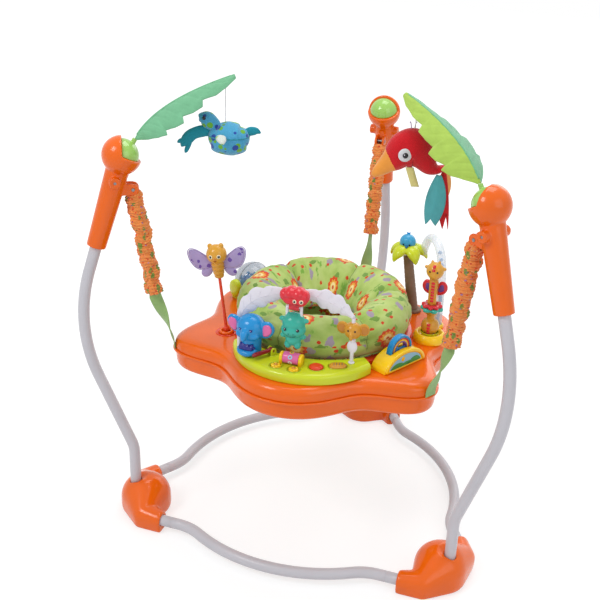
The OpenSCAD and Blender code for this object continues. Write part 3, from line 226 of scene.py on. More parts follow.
def pad(outline, t, y):
    """Stuffed flat form: an outline of (u, z), domed to both sides of y by t."""
    rings = 5
    cu, cz = (sum(p[i] for p in outline) / len(outline) for i in (0, 1))
    rows = []
    for k in range(-rings, rings + 1):
        s = 1 - abs(k) / (rings + 0.4)
        d = t * (1 if k > 0 else -1) * sqrt(1 - s ** 2.2) if k else 0
        rows.append([mm(cu + (u - cu) * s, y + d, cz + (z - cz) * s) for u, z in outline])
    return loft(rows)


# Objects

def outward(me):
    """Turns a mesh's faces outward."""
    bm = bmesh.new()
    bm.from_mesh(me)
    bmesh.ops.recalc_face_normals(bm, faces=bm.faces)
    bm.to_mesh(me)
    bm.free()


def drawn(name, part):
    me = bpy.data.meshes.new(name)
    me.from_pydata([tuple(v) for v in part[0]], [], part[1])
    return link(name, me)


def piece(name, part, body, material, node=None, slot=None, **how):
    """Object from verts and faces that rides on a body; node names what it stands for."""
    o = drawn(name, part)
    outward(o.data)
    return dress(o, body, material, node, slot, **how)


def maker(m, body):
    """Makes pieces that are drawn in frame m and ride on a body."""
    return lambda name, part, *args, **how: piece(name, moved(part, m), body, *args, **how)


def padded(o):
    return o


def modifier(o, kind, **settings):
    mod = o.modifiers.new(kind.lower(), kind)
    for k, v in settings.items():
        setattr(mod, k, v)


def dress(o, body, material, node=None, slot=None, subdiv=0, bevel=0, remesh=0, soften=0):
    """Finishes an object's surface, gives it its materials and says where it belongs."""
    for p in o.data.polygons:
        p.use_smooth = True
    if remesh:
        modifier(o, "REMESH", mode="VOXEL", voxel_size=remesh, use_smooth_shade=True)
        modifier(o, "SMOOTH", iterations=soften, factor=0.5)
    if bevel:
        modifier(o, "BEVEL", width=bevel, segments=3, limit_method="ANGLE", angle_limit=radians(40))
    if subdiv:
        modifier(o, "SUBSURF", levels=subdiv, render_levels=subdiv)
    if o.modifiers:
        bake(o)
    o.data.materials.clear()
    for m in material if isinstance(material, list) else [material]:
        o.data.materials.append(m)
    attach(o, body)
    if node:
        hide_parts(node)
    return o


def bake(o):
    """Applies an object's modifiers to its mesh."""
    dg = bpy.context.evaluated_depsgraph_get()
    dg.update()
    me = bpy.data.meshes.new_from_object(o.evaluated_get(dg), depsgraph=dg)
    o.modifiers.clear()
    o.data = me
    for p in me.polygons:
        p.use_smooth = True


def softened(name, node, body, material, voxel, soften, slot):
    """Rounded copy of a CAD node: remeshed and smoothed, so that its edges and joins flow."""
    o = link(name, nodes[node].data.copy())
    bm = bmesh.new()
    bm.from_mesh(o.data)
    bmesh.ops.remove_doubles(bm, verts=bm.verts, dist=1e-6)
    bm.to_mesh(o.data)
    bm.free()
    return dress(o, body, material, node, slot, remesh=voxel, soften=soften)


def cut_cloth(name, rows, m, thick, offset=0, subdiv=0):
    """Open sheet over rows of points, drawn in frame m, with a thickness."""
    o = drawn(name, moved(loft(rows, caps=False, round_rings=False), m))
    modifier(o, "SOLIDIFY", thickness=thick, offset=offset)
    if subdiv:
        modifier(o, "SUBSURF", levels=subdiv, render_levels=subdiv)
    bake(o)
    return o


def paint(o, pick):
    """Gives each face the material slot that pick(centre) names."""
    for p in o.data.polygons:
        p.material_index = pick(p.center)


# Materials

def lin(rgb):
    return tuple((c / 255 / 12.92 if c / 255 <= 0.04045 else ((c / 255 + 0.055) / 1.055) ** 2.4) for c in rgb) + (1,)


def tint(colour, k):
    return tuple(min(1, c * k) for c in colour[:3]) + (1,)


def grey(v):
    return (v, v, v, 1)


class Mat:
    """Node material with a Principled shader and short helpers for its textures."""

    def __init__(self, name):
        self.m = bpy.data.materials.new(name)
        self.m.use_nodes = True
        self.t = self.m.node_tree
        self.b = self.t.nodes["Principled BSDF"]
        self.where = self.node("ShaderNodeTexCoord").outputs["Object"]

    def put(self, socket, v):
        if hasattr(v, "is_output"):
            self.t.links.new(v, socket)
        else:
            socket.default_value = v

    def node(self, kind, **kw):
        n = self.t.nodes.new(kind)
        for k, v in kw.items():
            setattr(n, k, v)
        return n

    def feed(self, n, **kw):
        for k, v in kw.items():
            self.put(n.inputs[k.replace("_", " ")], v)
        return n

    def set(self, **kw):
        self.feed(self.b, **kw)

    def noise(self, scale, detail=3, rough=0.55, vec=None, out=0):
        n = self.node("ShaderNodeTexNoise")
        return self.feed(n, Vector=vec or self.where, Scale=scale, Detail=detail, Roughness=rough).outputs[out]

    def ramp(self, fac, stops):
        n = self.node("ShaderNodeValToRGB")
        e = n.color_ramp.elements
        while len(e) < len(stops):
            e.new(0.5)
        for k, (pos, col) in enumerate(stops):
            e[k].position = pos
            e[k].color = col if len(col) == 4 else lin(col)
        self.put(n.inputs[0], fac)
        return n.outputs[0]

    def mix(self, fac, a, b):
        n = self.node("ShaderNodeMix", data_type="RGBA")
        for i, v in ((0, fac), (6, a), (7, b)):
            self.put(n.inputs[i], v)
        return n.outputs[2]

    def math(self, op, a, b=0.0):
        n = self.node("ShaderNodeMath", operation=op)
        self.put(n.inputs[0], a)
        self.put(n.inputs[1], b)
        return n.outputs[0]

    def times(self, a, b):
        return self.math("MULTIPLY", a, b)

    def below(self, a, b):
        return self.math("LESS_THAN", a, b)

    def vector(self, op, a, b):
        n = self.node("ShaderNodeVectorMath", operation=op)
        self.put(n.inputs[0], a)
        self.put(n.inputs["Scale" if op == "SCALE" else 1], b)
        return n.outputs[0]

    def split(self, vec=None):
        n = self.node("ShaderNodeSeparateXYZ")
        self.put(n.inputs[0], vec or self.where)
        return n.outputs

    def moved(self, loc=(0, 0, 0), rot=(0, 0, 0), scale=(1, 1, 1), vec=None):
        n = self.node("ShaderNodeMapping")
        return self.feed(n, Vector=vec or self.where, Location=loc, Rotation=rot, Scale=scale).outputs[0]

    def wobbled(self, vec, scale, amount):
        """Place shifted by a noise, so that marks lose their round form."""
        return self.vector("ADD", vec, self.vector("SCALE", self.noise(scale, 2, vec=vec, out="Color"), amount))

    def cells(self, vec, scale, randomness, **kw):
        n = self.node("ShaderNodeTexVoronoi", **kw)
        return self.feed(n, Vector=vec, Scale=scale, Randomness=randomness).outputs

    def bump(self, height, strength, distance, normal=None):
        n = self.feed(self.node("ShaderNodeBump"), Height=height, Strength=strength, Distance=distance)
        if normal:
            self.put(n.inputs["Normal"], normal)
        return n.outputs[0]

    def weave(self, pitch):
        """Height of a plain weave with threads pitch apart."""
        x, y, z = self.split()
        k = pi / pitch
        a = self.math("SINE", self.times(self.math("ADD", x, y), k))
        b = self.math("SINE", self.times(self.math("SUBTRACT", z, self.times(y, 0.6)), k))
        return self.math("ADD", self.times(self.times(a, b), 0.5), 0.5)

    def fabric(self, colour, rough, sheen, soft, gloss, fine, folds):
        """Cloth's shading; fine and folds are (height, strength, distance) of two bumps."""
        self.set(Base_Color=colour, Roughness=rough, Sheen_Weight=sheen, Sheen_Roughness=soft, Specular_IOR_Level=gloss,
                 Normal=self.bump(*fine, self.bump(*folds)))
        return self.m


def plastic(name, rgb, rough=0.18, coat=0.2, vary=0.06, peel=0.08, **more):
    """Moulded plastic: faint flow clouds in the colour, orange peel and fine scuffs in the gloss."""
    m = Mat(name)
    base = lin(rgb)
    col = m.ramp(m.noise(14, 4), [(0.3, tint(base, 1 - vary)), (0.5, base), (0.72, tint(base, 1 + vary * 0.6))])
    scuff = m.ramp(m.noise(60, 3, 0.5), [(0.35, grey(rough)), (0.75, grey(rough + 0.08))])
    m.set(Base_Color=col, Roughness=scuff, Normal=m.bump(m.noise(260, 1), peel, 0.00015), Coat_Weight=coat,
          Coat_Roughness=0.06, Specular_IOR_Level=0.28, **more)
    return m.m


def cloth(name, rgb, pitch=0.0011, sheen=0.35):
    """Woven cotton: threads, soft creases and a colour that drifts a little."""
    m = Mat(name)
    base = lin(rgb)
    dark = tint(base, 0.9)
    col = m.ramp(m.noise(60, 4), [(0.3, dark), (0.6, base), (0.8, tint(base, 1.05))])
    w = m.weave(pitch)
    return m.fabric(m.mix(m.times(w, 0.18), col, dark), 0.88, sheen, 0.5, 0.2,
                    (w, 0.35, 0.0006), (m.noise(45, 3), 0.25, 0.004))


def plush(name, rgb, spots=()):
    """Short pile: fine tufts in colour and bump, and a soft sheen; spots are (colour, cells per metre, size). The
    tufts' tone follows their bump: painted shade in the dips, painted highlight on the tops.
    """
    m = Mat(name)
    base = lin(rgb)
    tuft = m.noise(900, 3, 0.7)
    # same noise as the bump: darker where the pile dips (painted shade), lighter on the tuft tops (painted highlight)
    col = m.ramp(tuft, [(0.32, tint(base, 0.744)), (0.55, base), (0.75, tint(base, 1.16))])
    for k, (rgb2, scale, size) in enumerate(spots):
        v = m.cells(m.moved(loc=(0.31 * k, 0.17 * k, 0.11 * k)), scale, 0.7)
        col = m.mix(m.below(v["Distance"], size), col, lin(rgb2))
    return m.fabric(col, 0.95, 0.6, 0.4, 0.15, (tuft, 0.6, 0.0012), (m.noise(70, 2), 0.3, 0.004))


def speckled(name, rgb, marks, seed=0.0):
    """Printed cotton: marks are (colour, cells per metre, size, stretch), each scattered in its own grid."""
    m = Mat(name)
    base = lin(rgb)
    dark = tint(base, 0.86)
    col = m.ramp(m.noise(40, 4), [(0.3, dark), (0.62, base)])
    for k, (rgb2, scale, size, stretch) in enumerate(marks):
        vec = m.moved(loc=(0.37 * k + seed, 0.23 * k, 0.51 * k), rot=(0.4 * k, 0.7 * k, 0.3), scale=stretch)
        v = m.cells(m.wobbled(vec, scale * 2.2, 0.35 / scale), scale, 0.85)
        col = m.mix(m.below(v["Distance"], size), col, lin(rgb2))
    w = m.weave(0.0011)
    return m.fabric(m.mix(m.times(w, 0.12), col, dark), 0.9, 0.3, 0.5, 0.2,
                    (w, 0.3, 0.0005), (m.noise(60, 3), 0.3, 0.004))


ORANGE = plastic("orange_plastic", (238, 102, 8))
TUBE = plastic("white_tube", (200, 198, 204), rough=0.3, coat=0.15, vary=0.03)
STEEL = plastic("zinc_steel", (140, 138, 138), rough=0.4, coat=0.0, Metallic=1)
CAP_GREEN = plastic("cap_green", (158, 206, 96), rough=0.16, coat=0.6)
LIME = plastic("lime_plastic", (204, 216, 36))
RED_ORANGE = plastic("red_orange_plastic", (226, 66, 30))
YELLOW = plastic("yellow_plastic", (252, 206, 22))
RED = plastic("red_plastic", (222, 44, 58))
AMBER = plastic("amber_plastic", (212, 150, 46))
WHITE = plastic("white_plastic", (232, 229, 238), vary=0.03)
TEAL = plastic("teal_plastic", (54, 178, 158))
BLUE = plastic("blue_plastic", (26, 142, 208))
NAVY = plastic("navy_plastic", (42, 46, 132))
PINK = plastic("pink_plastic", (228, 108, 166))
MAROON = plastic("maroon_plastic", (142, 22, 36))
PURPLE = plastic("purple_plastic", (140, 92, 172))
BROWN = plastic("brown_plastic", (132, 106, 86), rough=0.5, coat=0.05, vary=0.18)
BLACK = plastic("black_plastic", (22, 20, 24), rough=0.2)
COVER = cloth("cover_cloth", (250, 148, 70))
MINT_CLOTH = cloth("mint_cloth", (122, 190, 146))
LIME_CLOTH = cloth("lime_cloth", (176, 208, 92))
SEAT_CLOTH = cloth("seat_cloth", (180, 202, 112))
STRAP = cloth("strap_web", (150, 186, 116), pitch=0.0016)
LILAC_CLOTH = cloth("lilac_cloth", (172, 152, 206))
BLUE_PLUSH = plush("blue_plush", (78, 164, 208))
TEAL_CLOTH = cloth("teal_cloth", (84, 172, 178))
RED_PLUSH = plush("red_plush", (216, 32, 42))
CORD = cloth("cord_cloth", (228, 224, 228), pitch=0.0008)
CLEAR = plastic("clear_plastic", (132, 152, 172), rough=0.06, coat=0.8, vary=0.02, peel=0.02, Alpha=0.48)
# Bead tube's clear plastic, given a near-white tint that is painted highlight: it stands in for the tube's bright
# reflections
SHEEN_PALE_CLEAR = plastic("frosted_plastic", (232, 238, 244), rough=0.1, coat=0.5, vary=0.02, peel=0.02, Alpha=0.5)

# The CAD nodes' own materials, by the longest start of their names
LOOK = {
    "foot": ORANGE, "base_tube": TUBE, "post": TUBE, "sleeve": ORANGE, "frame_fasteners": STEEL, "cap_rear": CAP_GREEN,
    "bounce_springs": STEEL, "spring_covers": COVER, "leaf_hub": CAP_GREEN, "leaf_left": MINT_CLOTH,
    "leaf_right": LIME_CLOTH, "turtle_string": CORD, "turtle_body": BLUE_PLUSH, "turtle_head": BLUE_PLUSH,
    "turtle_flippers": TEAL_CLOTH, "parrot_string": CORD, "parrot_body": RED_PLUSH, "parrot_tail": TEAL_CLOTH,
    "tray_top": ORANGE, "tray_base": ORANGE, "tray_screws": STEEL, "hanging_straps": STRAP, "seat_ring": RED_ORANGE,
    "seat_cushion": SEAT_CLOTH, "seat_sling": SEAT_CLOTH, "music_panel": LIME, "button_flower": YELLOW,
    "button_red": RED_ORANGE, "button_amber": AMBER, "toy_arch": WHITE, "arch_bug": RED, "swing_hippo": TEAL,
    "elephant_roller": NAVY, "elephant": BLUE, "picture_roller": PINK, "panel_lever": MAROON, "amber_bead": AMBER,
    "butterfly_stalk": RED_ORANGE, "butterfly_wings": LILAC_CLOTH, "butterfly": AMBER, "bead_ball": CLEAR,
    "ball_bracket": LIME, "rainbow_base": YELLOW, "rainbow_arch": BLUE, "tower_base": YELLOW, "giraffe": AMBER,
    "tower_rings": RED, "palm_trunk": BROWN, "palm_crown": LIME, "bead_tube": CLEAR,
}
for name, o in nodes.items():
    key = max((k for k in LOOK if name.startswith(k)), key=len)
    o.data.materials.clear()
    o.data.materials.append(LOOK[key])


# Frame: posts and floor tubes follow the CAD part's sizes

TUBE_R, GROOVE_R = 0.011, 0.0103
FOOT_R, KNEE_Z, KNEE_R, LOWER_RUN, BOW_R, UPPER_RUN = 0.385, 0.135, 0.08, 0.167, 0.35, 0.229
SLEEVE_LEN, SLEEVE_GRIP = 0.18, 0.105
LEAN_OUT, LEAN_IN = radians(20), radians(17.4)
bow_r = FOOT_R + KNEE_R * (1 - cos(LEAN_OUT)) + LOWER_RUN * sin(LEAN_OUT) - BOW_R * cos(LEAN_OUT)
bow_z = KNEE_Z + KNEE_R * sin(LEAN_OUT) + LOWER_RUN * cos(LEAN_OUT) + BOW_R * sin(LEAN_OUT)
end_r, end_z = bow_r + BOW_R * cos(LEAN_IN), bow_z + BOW_R * sin(LEAN_IN)
ball_r, ball_z = end_r - UPPER_RUN * sin(LEAN_IN), end_z + UPPER_RUN * cos(LEAN_IN)
run_up = UPPER_RUN - SLEEVE_LEN + SLEEVE_GRIP
post_path = [(FOOT_R, 0, 0.016), (FOOT_R, 0, 0.09)]
post_path += [(FOOT_R + KNEE_R * (1 - cos(a)), 0, KNEE_Z + KNEE_R * sin(a))
              for a in (LEAN_OUT * k / 8 for k in range(9))]
post_path += [(bow_r + BOW_R * cos(a), 0, bow_z - BOW_R * sin(a))
              for a in (LEAN_OUT - (LEAN_OUT + LEAN_IN) * k / 24 for k in range(25))]
post_path += [(end_r - run_up * sin(LEAN_IN), 0, end_z + run_up * cos(LEAN_IN))]

BASE_IN, BASE_Z, BASE_RUN, EASE_R, MIDDLE_R, BASE_BEND = 0.244, 0.024, 0.086, 0.1, 0.32, radians(30)
base_half = (EASE_R + MIDDLE_R) * sin(BASE_BEND) + BASE_RUN
base_reach = BASE_IN + (EASE_R + MIDDLE_R) * (1 - cos(BASE_BEND))
half_path = [(BASE_IN, d - base_half, BASE_Z) for d in (0, 0.071, 0.0715, 0.0725, 0.073)]
half_path += [(BASE_IN + EASE_R * (1 - cos(a)), BASE_RUN - base_half + EASE_R * sin(a), BASE_Z)
              for a in (BASE_BEND * k / 8 for k in range(9))]
half_path += [(base_reach - MIDDLE_R * (1 - cos(a)), -MIDDLE_R * sin(a), BASE_Z)
              for a in (BASE_BEND * (1 - k / 12) for k in range(1, 12))]
base_path = half_path + [(base_reach, 0, BASE_Z)] + [(x, -y, z) for x, y, z in reversed(half_path)]
base_wide = [GROOVE_R if {i, len(base_path) - 1 - i} & {2, 3} else TUBE_R for i in range(len(base_path))]

for side, angle in POSTS.items():
    maker(round_axis(angle), "frame")("post_tube_" + side, sweep(post_path, TUBE_R, sides=32, side=Y), TUBE,
                                      "post_" + side, "tube_paint")
    softened("foot_shell_" + side, "foot_" + side, "frame", ORANGE, 0.0022, 30, "orange_plastic")
    softened("housing_" + side, "sleeve_" + side, "frame", ORANGE, 0.0015, 5, "orange_plastic")
for side, angle in (("front", 270), ("left", 150), ("right", 30)):
    maker(round_axis(angle), "frame")("floor_tube_" + side, sweep(base_path, base_wide, sides=32, side=(0, 0, 1)), TUBE,
                                      "base_tube_" + side, "tube_paint")
softened("rear_dome", "cap_rear", "frame", CAP_GREEN, 0.0012, 6, "green_cap")
for _, side in SIDES:
    softened("leaf_socket_" + side, "leaf_hub_" + side, "frame", CAP_GREEN, 0.0009, 3, "green_cap")

# Springs, gathered covers and straps

PRINT_ORANGE = speckled("cover_print", (246, 150, 78), [
    ((232, 92, 44), 110, 0.24, (1, 1, 1)), ((118, 148, 62), 64, 0.28, (1, 1, 0.6)),
    ((250, 196, 112), 100, 0.14, (1, 0.7, 1)), ((164, 120, 164), 84, 0.15, (0.7, 1, 1)),
    ((204, 52, 40), 96, 0.17, (1, 0.7, 1))])
COILS, COIL_STEPS = 9, 24
hang = Vector((0.366, 0, 0.7))
spring_foot = Vector((0.334, 0, 0.498))
way = (spring_foot - hang).normalized()
across = Vector((-way.z, 0, way.x))
top = 0.0046           # from the hanger to the spring's first coil
span = (spring_foot - hang).length - top
spring = []
for i in range(COILS * COIL_STEPS + 1):
    turn = i / COIL_STEPS
    r = 0.004 + 0.0035 * min(1, turn / 2, (COILS - turn) / 2)
    a = 2 * pi * turn
    spring.append(hang + way * (top + span * turn / COILS) + Y * (r * cos(a)) + across * (r * sin(a)))
cover_from, cover_to = 0.006, top + span + 0.0058   # the cover's ends, from the hanger


def ruffle(seed):
    """Gathered cloth tube round a spring: uneven, wrinkled puffs between elastic threads, with a frill at its foot."""
    rows, sides, thick = 260, 60, 0.0007
    rings, lining = [], []
    for i in range(rows + 1):
        s = i / rows
        ease = min(1, s / 0.08, (1 - s) / 0.08)
        sway = Y * noise.noise(Vector((seed, 5, s * 9))) + across * noise.noise(Vector((7, seed, s * 9)))
        at = hang + way * (cover_from + (cover_to - cover_from) * s) + sway * (0.0032 * ease)
        rings.append([])
        lining.append([])
        for t in turns(sides):
            c, d = cos(t), sin(t)
            n1 = noise.noise(Vector((c * 0.9 + seed, d * 0.9, s * 7)))
            n2 = noise.noise(Vector((c * 3.2 + seed, d * 3.2, s * 30)))
            n3 = noise.noise(Vector((c * 1.6, d * 1.6 + seed, s * 52)))
            big = abs(sin(pi * 8 * (s + 0.08 * n1))) ** 0.7
            small = abs(sin(pi * 36 * (s + 0.03 * n1 + 0.008 * n2))) ** 0.7
            frill = max(0, (s - 0.93) / 0.07)
            r = 0.0106 + 0.0040 * big + 0.0026 * small + 0.0034 * n1 + 0.0014 * n2 + 0.0008 * n3
            r = r * (0.74 + 0.26 * min(1, s / 0.03)) + frill * (0.0012 + 0.0022 * sin(7 * t + seed))
            out = Y * c + across * d
            rings[-1].append(at + out * r)
            lining[-1].append(at + out * (r - thick))
    return loft(rings + lining[::-1], closed=True)


def strap():
    """Flat webbing from the cover's lower end to the tray's rim, turned a quarter on its way down."""
    wall, thick = 0.2984, 0.0009
    low = hang + way * cover_to
    pts = [hang + way * (cover_to - 0.0035), low + way * 0.002, low + way * 0.0125]
    pts += [pts[2].lerp(Vector((wall + 0.001, 0, 0.39)), k / 20) for k in range(1, 21)]
    pts += [Vector((wall, 0, 0.382)), Vector((wall, 0, 0.3746))]
    half = [0.0108, 0.0108] + [0.0125] * (len(pts) - 2)
    rings = []
    for i, (p, w) in enumerate(zip(pts, half)):
        t = min(1, max(0, (i - 2) / 18))
        a = radians(86) * (1 - t * t * (3 - 2 * t))
        wide, flat = Vector((-sin(a), cos(a), 0)), Vector((cos(a), sin(a), 0)) * thick
        rings.append([p + flat * f + wide * (w * k * -f) for f in (-1, 1) for k in (-1, -0.33, 0.33, 1)])
    return loft(rings)


for k, (side, angle) in enumerate(POSTS.items()):
    m = round_axis(angle)
    fixed = maker(m, "frame")
    s = fixed("spring_" + side, sweep(spring, 0.0012, sides=10), STEEL, "bounce_springs", "steel")
    c = fixed("spring_cover_" + side, ruffle(3.7 * k), PRINT_ORANGE, "spring_covers", "cover_cloth")
    for o in (s, c):
        world = o.matrix_world.copy()
        o.parent = None
        o.matrix_world = world
        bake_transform(o)
    w = piece("strap_" + side, moved(strap(), m), "tray", STRAP, "hanging_straps", "strap_web", bevel=0.0003)


# Leaves

# half width of a leaf, as a share of its widest, along its midrib
LEAF = [(0, 0.07), (0.1, 0.5), (0.2, 0.8), (0.31, 0.98), (0.33, 0.78), (0.42, 0.95), (0.52, 1), (0.54, 0.74),
        (0.63, 0.8), (0.72, 0.76), (0.74, 0.5), (0.84, 0.5), (0.93, 0.36), (1, 0.12)]


def midrib(t):
    return bez((-0.025, 0, 0.03), (-0.062, 0, 0.097), (-0.203, 0, 0.144), t)


def leaf(side, cloths, slot, far):
    """Padded cloth blade, folded along its midrib, with three notches and sewn veins."""
    angle = POSTS[side]
    m = round_axis(angle) @ shift(ball_r, 0, ball_z)
    rows, span, vein_gap = [], 30, 0.105
    for t in sorted(set([k / 90 for k in range(91)] + [t for t, _ in LEAF])):
        d = (midrib(min(t + 0.02, 1)) - midrib(max(t - 0.02, 0))).normalized()
        over = Vector((d.z, 0, -d.x))
        over = -over if over.z < 0 else over
        at = midrib(t) + d * 0.0004
        w = 0.062 * between(LEAF, t) * 0.78
        row = []
        for j in range(span + 1):
            s = 2 * j / span - 1
            q = abs(s)
            drop = radians(40 if s * far < 0 else 16) * (0.8 + 0.3 * q)
            vein = (t - 0.16 * q) / vein_gap
            line = abs(vein - round(vein)) * vein_gap * 0.24
            sew = 0.0011 * 2.7 ** (-(line / 0.0022) ** 2) * (1 - q ** 4)
            wave = 0.0022 * q * noise.noise(Vector((t * 9, s * 2.5, angle)))
            puff = 0.0012 * (1 - q ** 3)
            sunk = w * q * sin(drop) + 0.0012 - wave - puff + sew
            row.append(at + Y * (w * s * cos(drop)) - over * sunk)
        rows.append(row)
    o = cut_cloth("leaf_blade_" + side, rows, m, 0.0026, subdiv=1)
    dress(o, "frame", cloths, "leaf_" + side, slot)
    inv = m.inverted()
    if len(cloths) > 1:
        paint(o, lambda p: 1 if (inv @ p).y < 0.0015 else 0)
    rib = sweep([midrib(k / 40) + Vector((0, 0, 0.0006)) for k in range(2, 40)],
                [0.0021 - 0.0011 * k / 38 for k in range(38)], sides=10)
    padded(maker(m, "frame")("leaf_blade_" + side + "_rib", rib, cloths[0]))


leaf("left", [MINT_CLOTH], "mint_cloth", -1)
leaf("right", [MINT_CLOTH, LIME_CLOTH], "lime_cloth", 1)

# Hanging toys

TURN = spin(17.5)
TURTLE = shift(-0.170, -0.183, 0.822) @ TURN @ shift(-0.005, 0, -0.001)
PARROT = shift(0.181, -0.189, 0.847) @ TURN @ shift(0.006, 0, 0.0068)
turtle, parrot = maker(TURTLE, "turtle"), maker(PARROT, "parrot")


def cord(body, x, y, heights):
    """A toy's string, straight down from its leaf."""
    name, route = body + "_cord", [(x, y, z) for z in heights]
    c = bpy.data.curves.new(name, "CURVE")
    c.dimensions, c.bevel_depth, c.bevel_resolution, c.use_fill_caps = "3D", 0.00075, 4, True
    s = c.splines.new("POLY")
    s.points.add(len(route) - 1)
    for p, q in zip(s.points, route):
        p.co = (*q, 1)
    o = link(name, c)
    c.materials.append(CORD)
    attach(o, body)
    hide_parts(body + "_string")


cord("turtle", -0.170, -0.183, (0.8969, 0.876, 0.858, 0.840, 0.822))
cord("parrot", 0.181, -0.189, (0.8928, 0.880, 0.869, 0.858, 0.847))


def stuffed(rows, sides=32, seed=0.0, lump=0.05):
    """Stuffed form with soft lumps, along (u, z, half depth, half height) stations in millimetres."""
    per, least = 6, 0.0004
    ends = [rows[0], *rows, rows[-1]]
    st = [spline(ends, i + 1, k / per) * MM for i in range(len(rows) - 1) for k in range(per)] + [Vector(rows[-1]) * MM]
    deep, high = ([max(s[i], least) for s in st] for i in (2, 3))
    return sweep([(s[0], 0, s[1]) for s in st], deep, high, sides, Y,
                 lump=lambda s, t: 1 + lump * noise.noise(Vector((s * 5 + seed, cos(t) * 1.4, sin(t) * 1.4))))


def soft(make, name, part, *args):
    return padded(make(name, part, *args, subdiv=1))


TURTLE_PLUSH = plush("turtle_plush", (84, 172, 214), spots=[((112, 178, 62), 62, 0.36), ((52, 82, 168), 50, 0.3)])
TURTLE_TEAL = plush("turtle_teal", (40, 150, 170))
FIN_WHITE = plush("fin_white", (226, 232, 224), spots=[((150, 196, 90), 70, 0.24)])
shell = []
for a in range(-85, 86, 17):
    u, r = 38 * sin(radians(a)), 31 * cos(radians(a))
    shell.append((11 + u, -30 if abs(u) < 24 else -28.4, r, r - 0.4))
soft(turtle, "turtle_shell", stuffed(shell, seed=1), TURTLE_PLUSH, "turtle_body", "blue_plush")
seam = [(11 + 37.5 * cos(t), 30.5 * sin(t), -24.5) for t in turns(60) + [2 * pi]]
padded(turtle("turtle_seam", tube(seam, 1.1, 8), TURTLE_TEAL))
skull = [(-43.5, 4, 1, 1), (-42, 4, 5, 6), (-38, 5, 10, 11), (-28, 3, 14, 15), (-18, -4, 13, 13), (-10, -12, 10, 10),
         (-6, -17, 9, 9)]
soft(turtle, "turtle_face", stuffed(skull, seed=2), TURTLE_PLUSH, "turtle_head", "blue_plush")
front = [(-22, -21, 5, 7), (-36, -18, 6, 11), (-54, -24, 5, 11), (-66, -35, 4.5, 11), (-73, -44, 3, 6),
         (-76, -49, 0.6, 1)]
toes = [[(-60, -40, 3, 4), (-65, -50, 3.4, 4.6), (-68, -57, 2.6, 3.4), (-70, -60, 0.5, 0.6)],
        [(-68, -34, 3, 4), (-76, -37, 3.4, 4.4), (-81, -40, 2.6, 3.2), (-83, -42, 0.5, 0.6)]]
rear = [(40, -19, 4, 6), (50, -15, 4.5, 8.5), (60, -14, 4, 7), (67, -16.5, 1.6, 2.6), (69, -17.5, 0.4, 0.6)]
fins = join(stuffed(front, 20), *[stuffed(t, 14) for t in toes], stuffed(rear, 20))
soft(turtle, "turtle_fins", fins, TURTLE_TEAL, "turtle_flippers", "teal_cloth")
side_fin = [(2, 0, 5, 4), (12, 2, 9.5, 5), (22, -2, 7.5, 4), (28, -6, 2, 1.4)]
for s, end in ENDS:
    place = TURTLE @ shift(0.016 if s > 0 else -0.004, s * 0.0255, -0.022) @ spin(s * 70)
    soft(maker(place, "turtle"), "turtle_side_fin_" + end, stuffed(side_fin, 18), FIN_WHITE)
    turtle("turtle_eye_" + end, ball((-32.5, s * 12.8, 8.5), (3.2, 1.8, 3.6), 14, 8), BLACK)

BEAK = cloth("beak_cloth", (246, 160, 62), sheen=0.5)
EYE_WHITE = cloth("eye_felt", (226, 226, 230), pitch=0.0008, sheen=0.5)
spine = [(-73, -88, 1.2, 1.4), (-72, -87, 4.5, 5), (-66, -81, 8.5, 9.5), (-57, -73, 11.5, 13.5), (-47, -64, 15, 18),
         (-38, -56, 19, 23), (-22, -40, 25, 31), (-4, -37, 27, 34), (12, -52, 20, 24), (24, -67, 15, 16),
         (36, -72, 11, 9), (47, -69, 11.5, 4.6), (57, -66, 10.5, 2.6)]
o = soft(parrot, "parrot_stuffed", stuffed(spine, 40, seed=5, lump=0.03), [RED_PLUSH, BEAK], "parrot_body", "red_plush")
inv = PARROT.inverted()
paint(o, lambda p: 1 if (inv @ p).x * 0.86 + (inv @ p).z * 0.5 < -0.0665 else 0)
for s, end in ENDS:
    eyed = maker(PARROT @ shift(-0.022, s * 0.0248, -0.043) @ spin(s * -90, "X"), "parrot")
    felt = lathe([(10.5, -1), (11.5, 0.6), (10.4, 1.6), (6, 2.6), (0.2, 3)], 32)
    padded(eyed("parrot_eye_patch_" + end, felt, EYE_WHITE))
    eyed("parrot_pupil_" + end, ball((0.6, 0, 3.4), (4.8, 4.8, 2), 20, 10), BLACK)
    eyed("parrot_glint_" + end, ball((-1.2, -1.4 * s, 5.2), (1.1, 1.1, 0.5), 10, 6), WHITE)


def feather(name, root, lean, turn, wide, long, material, fork=0.0, curl=0.0):
    """Cloth feather with a folded middle; fork notches its end."""
    rows, n, k = [], 30, 14
    for t in (i / n for i in range(n + 1)):
        w = wide / 2 * sin(radians(10 + 145 * t)) ** 0.8
        row = []
        for s in (2 * j / k - 1 for j in range(k + 1)):
            notch = fork * (1 - abs(s)) ** 1.2 * max(0, (t - 0.55) / 0.45) ** 2
            y = -w * 0.25 * (1 - abs(s)) + curl * sin(pi * t) + 0.0012
            row.append((lean * t * t + w * s, y, -t * long + notch))
        rows.append(row)
    o = cut_cloth(name, rows, PARROT @ shift(*root) @ spin(turn), 0.0016)
    padded(dress(o, "parrot", material, "parrot_tail", "teal_cloth"))


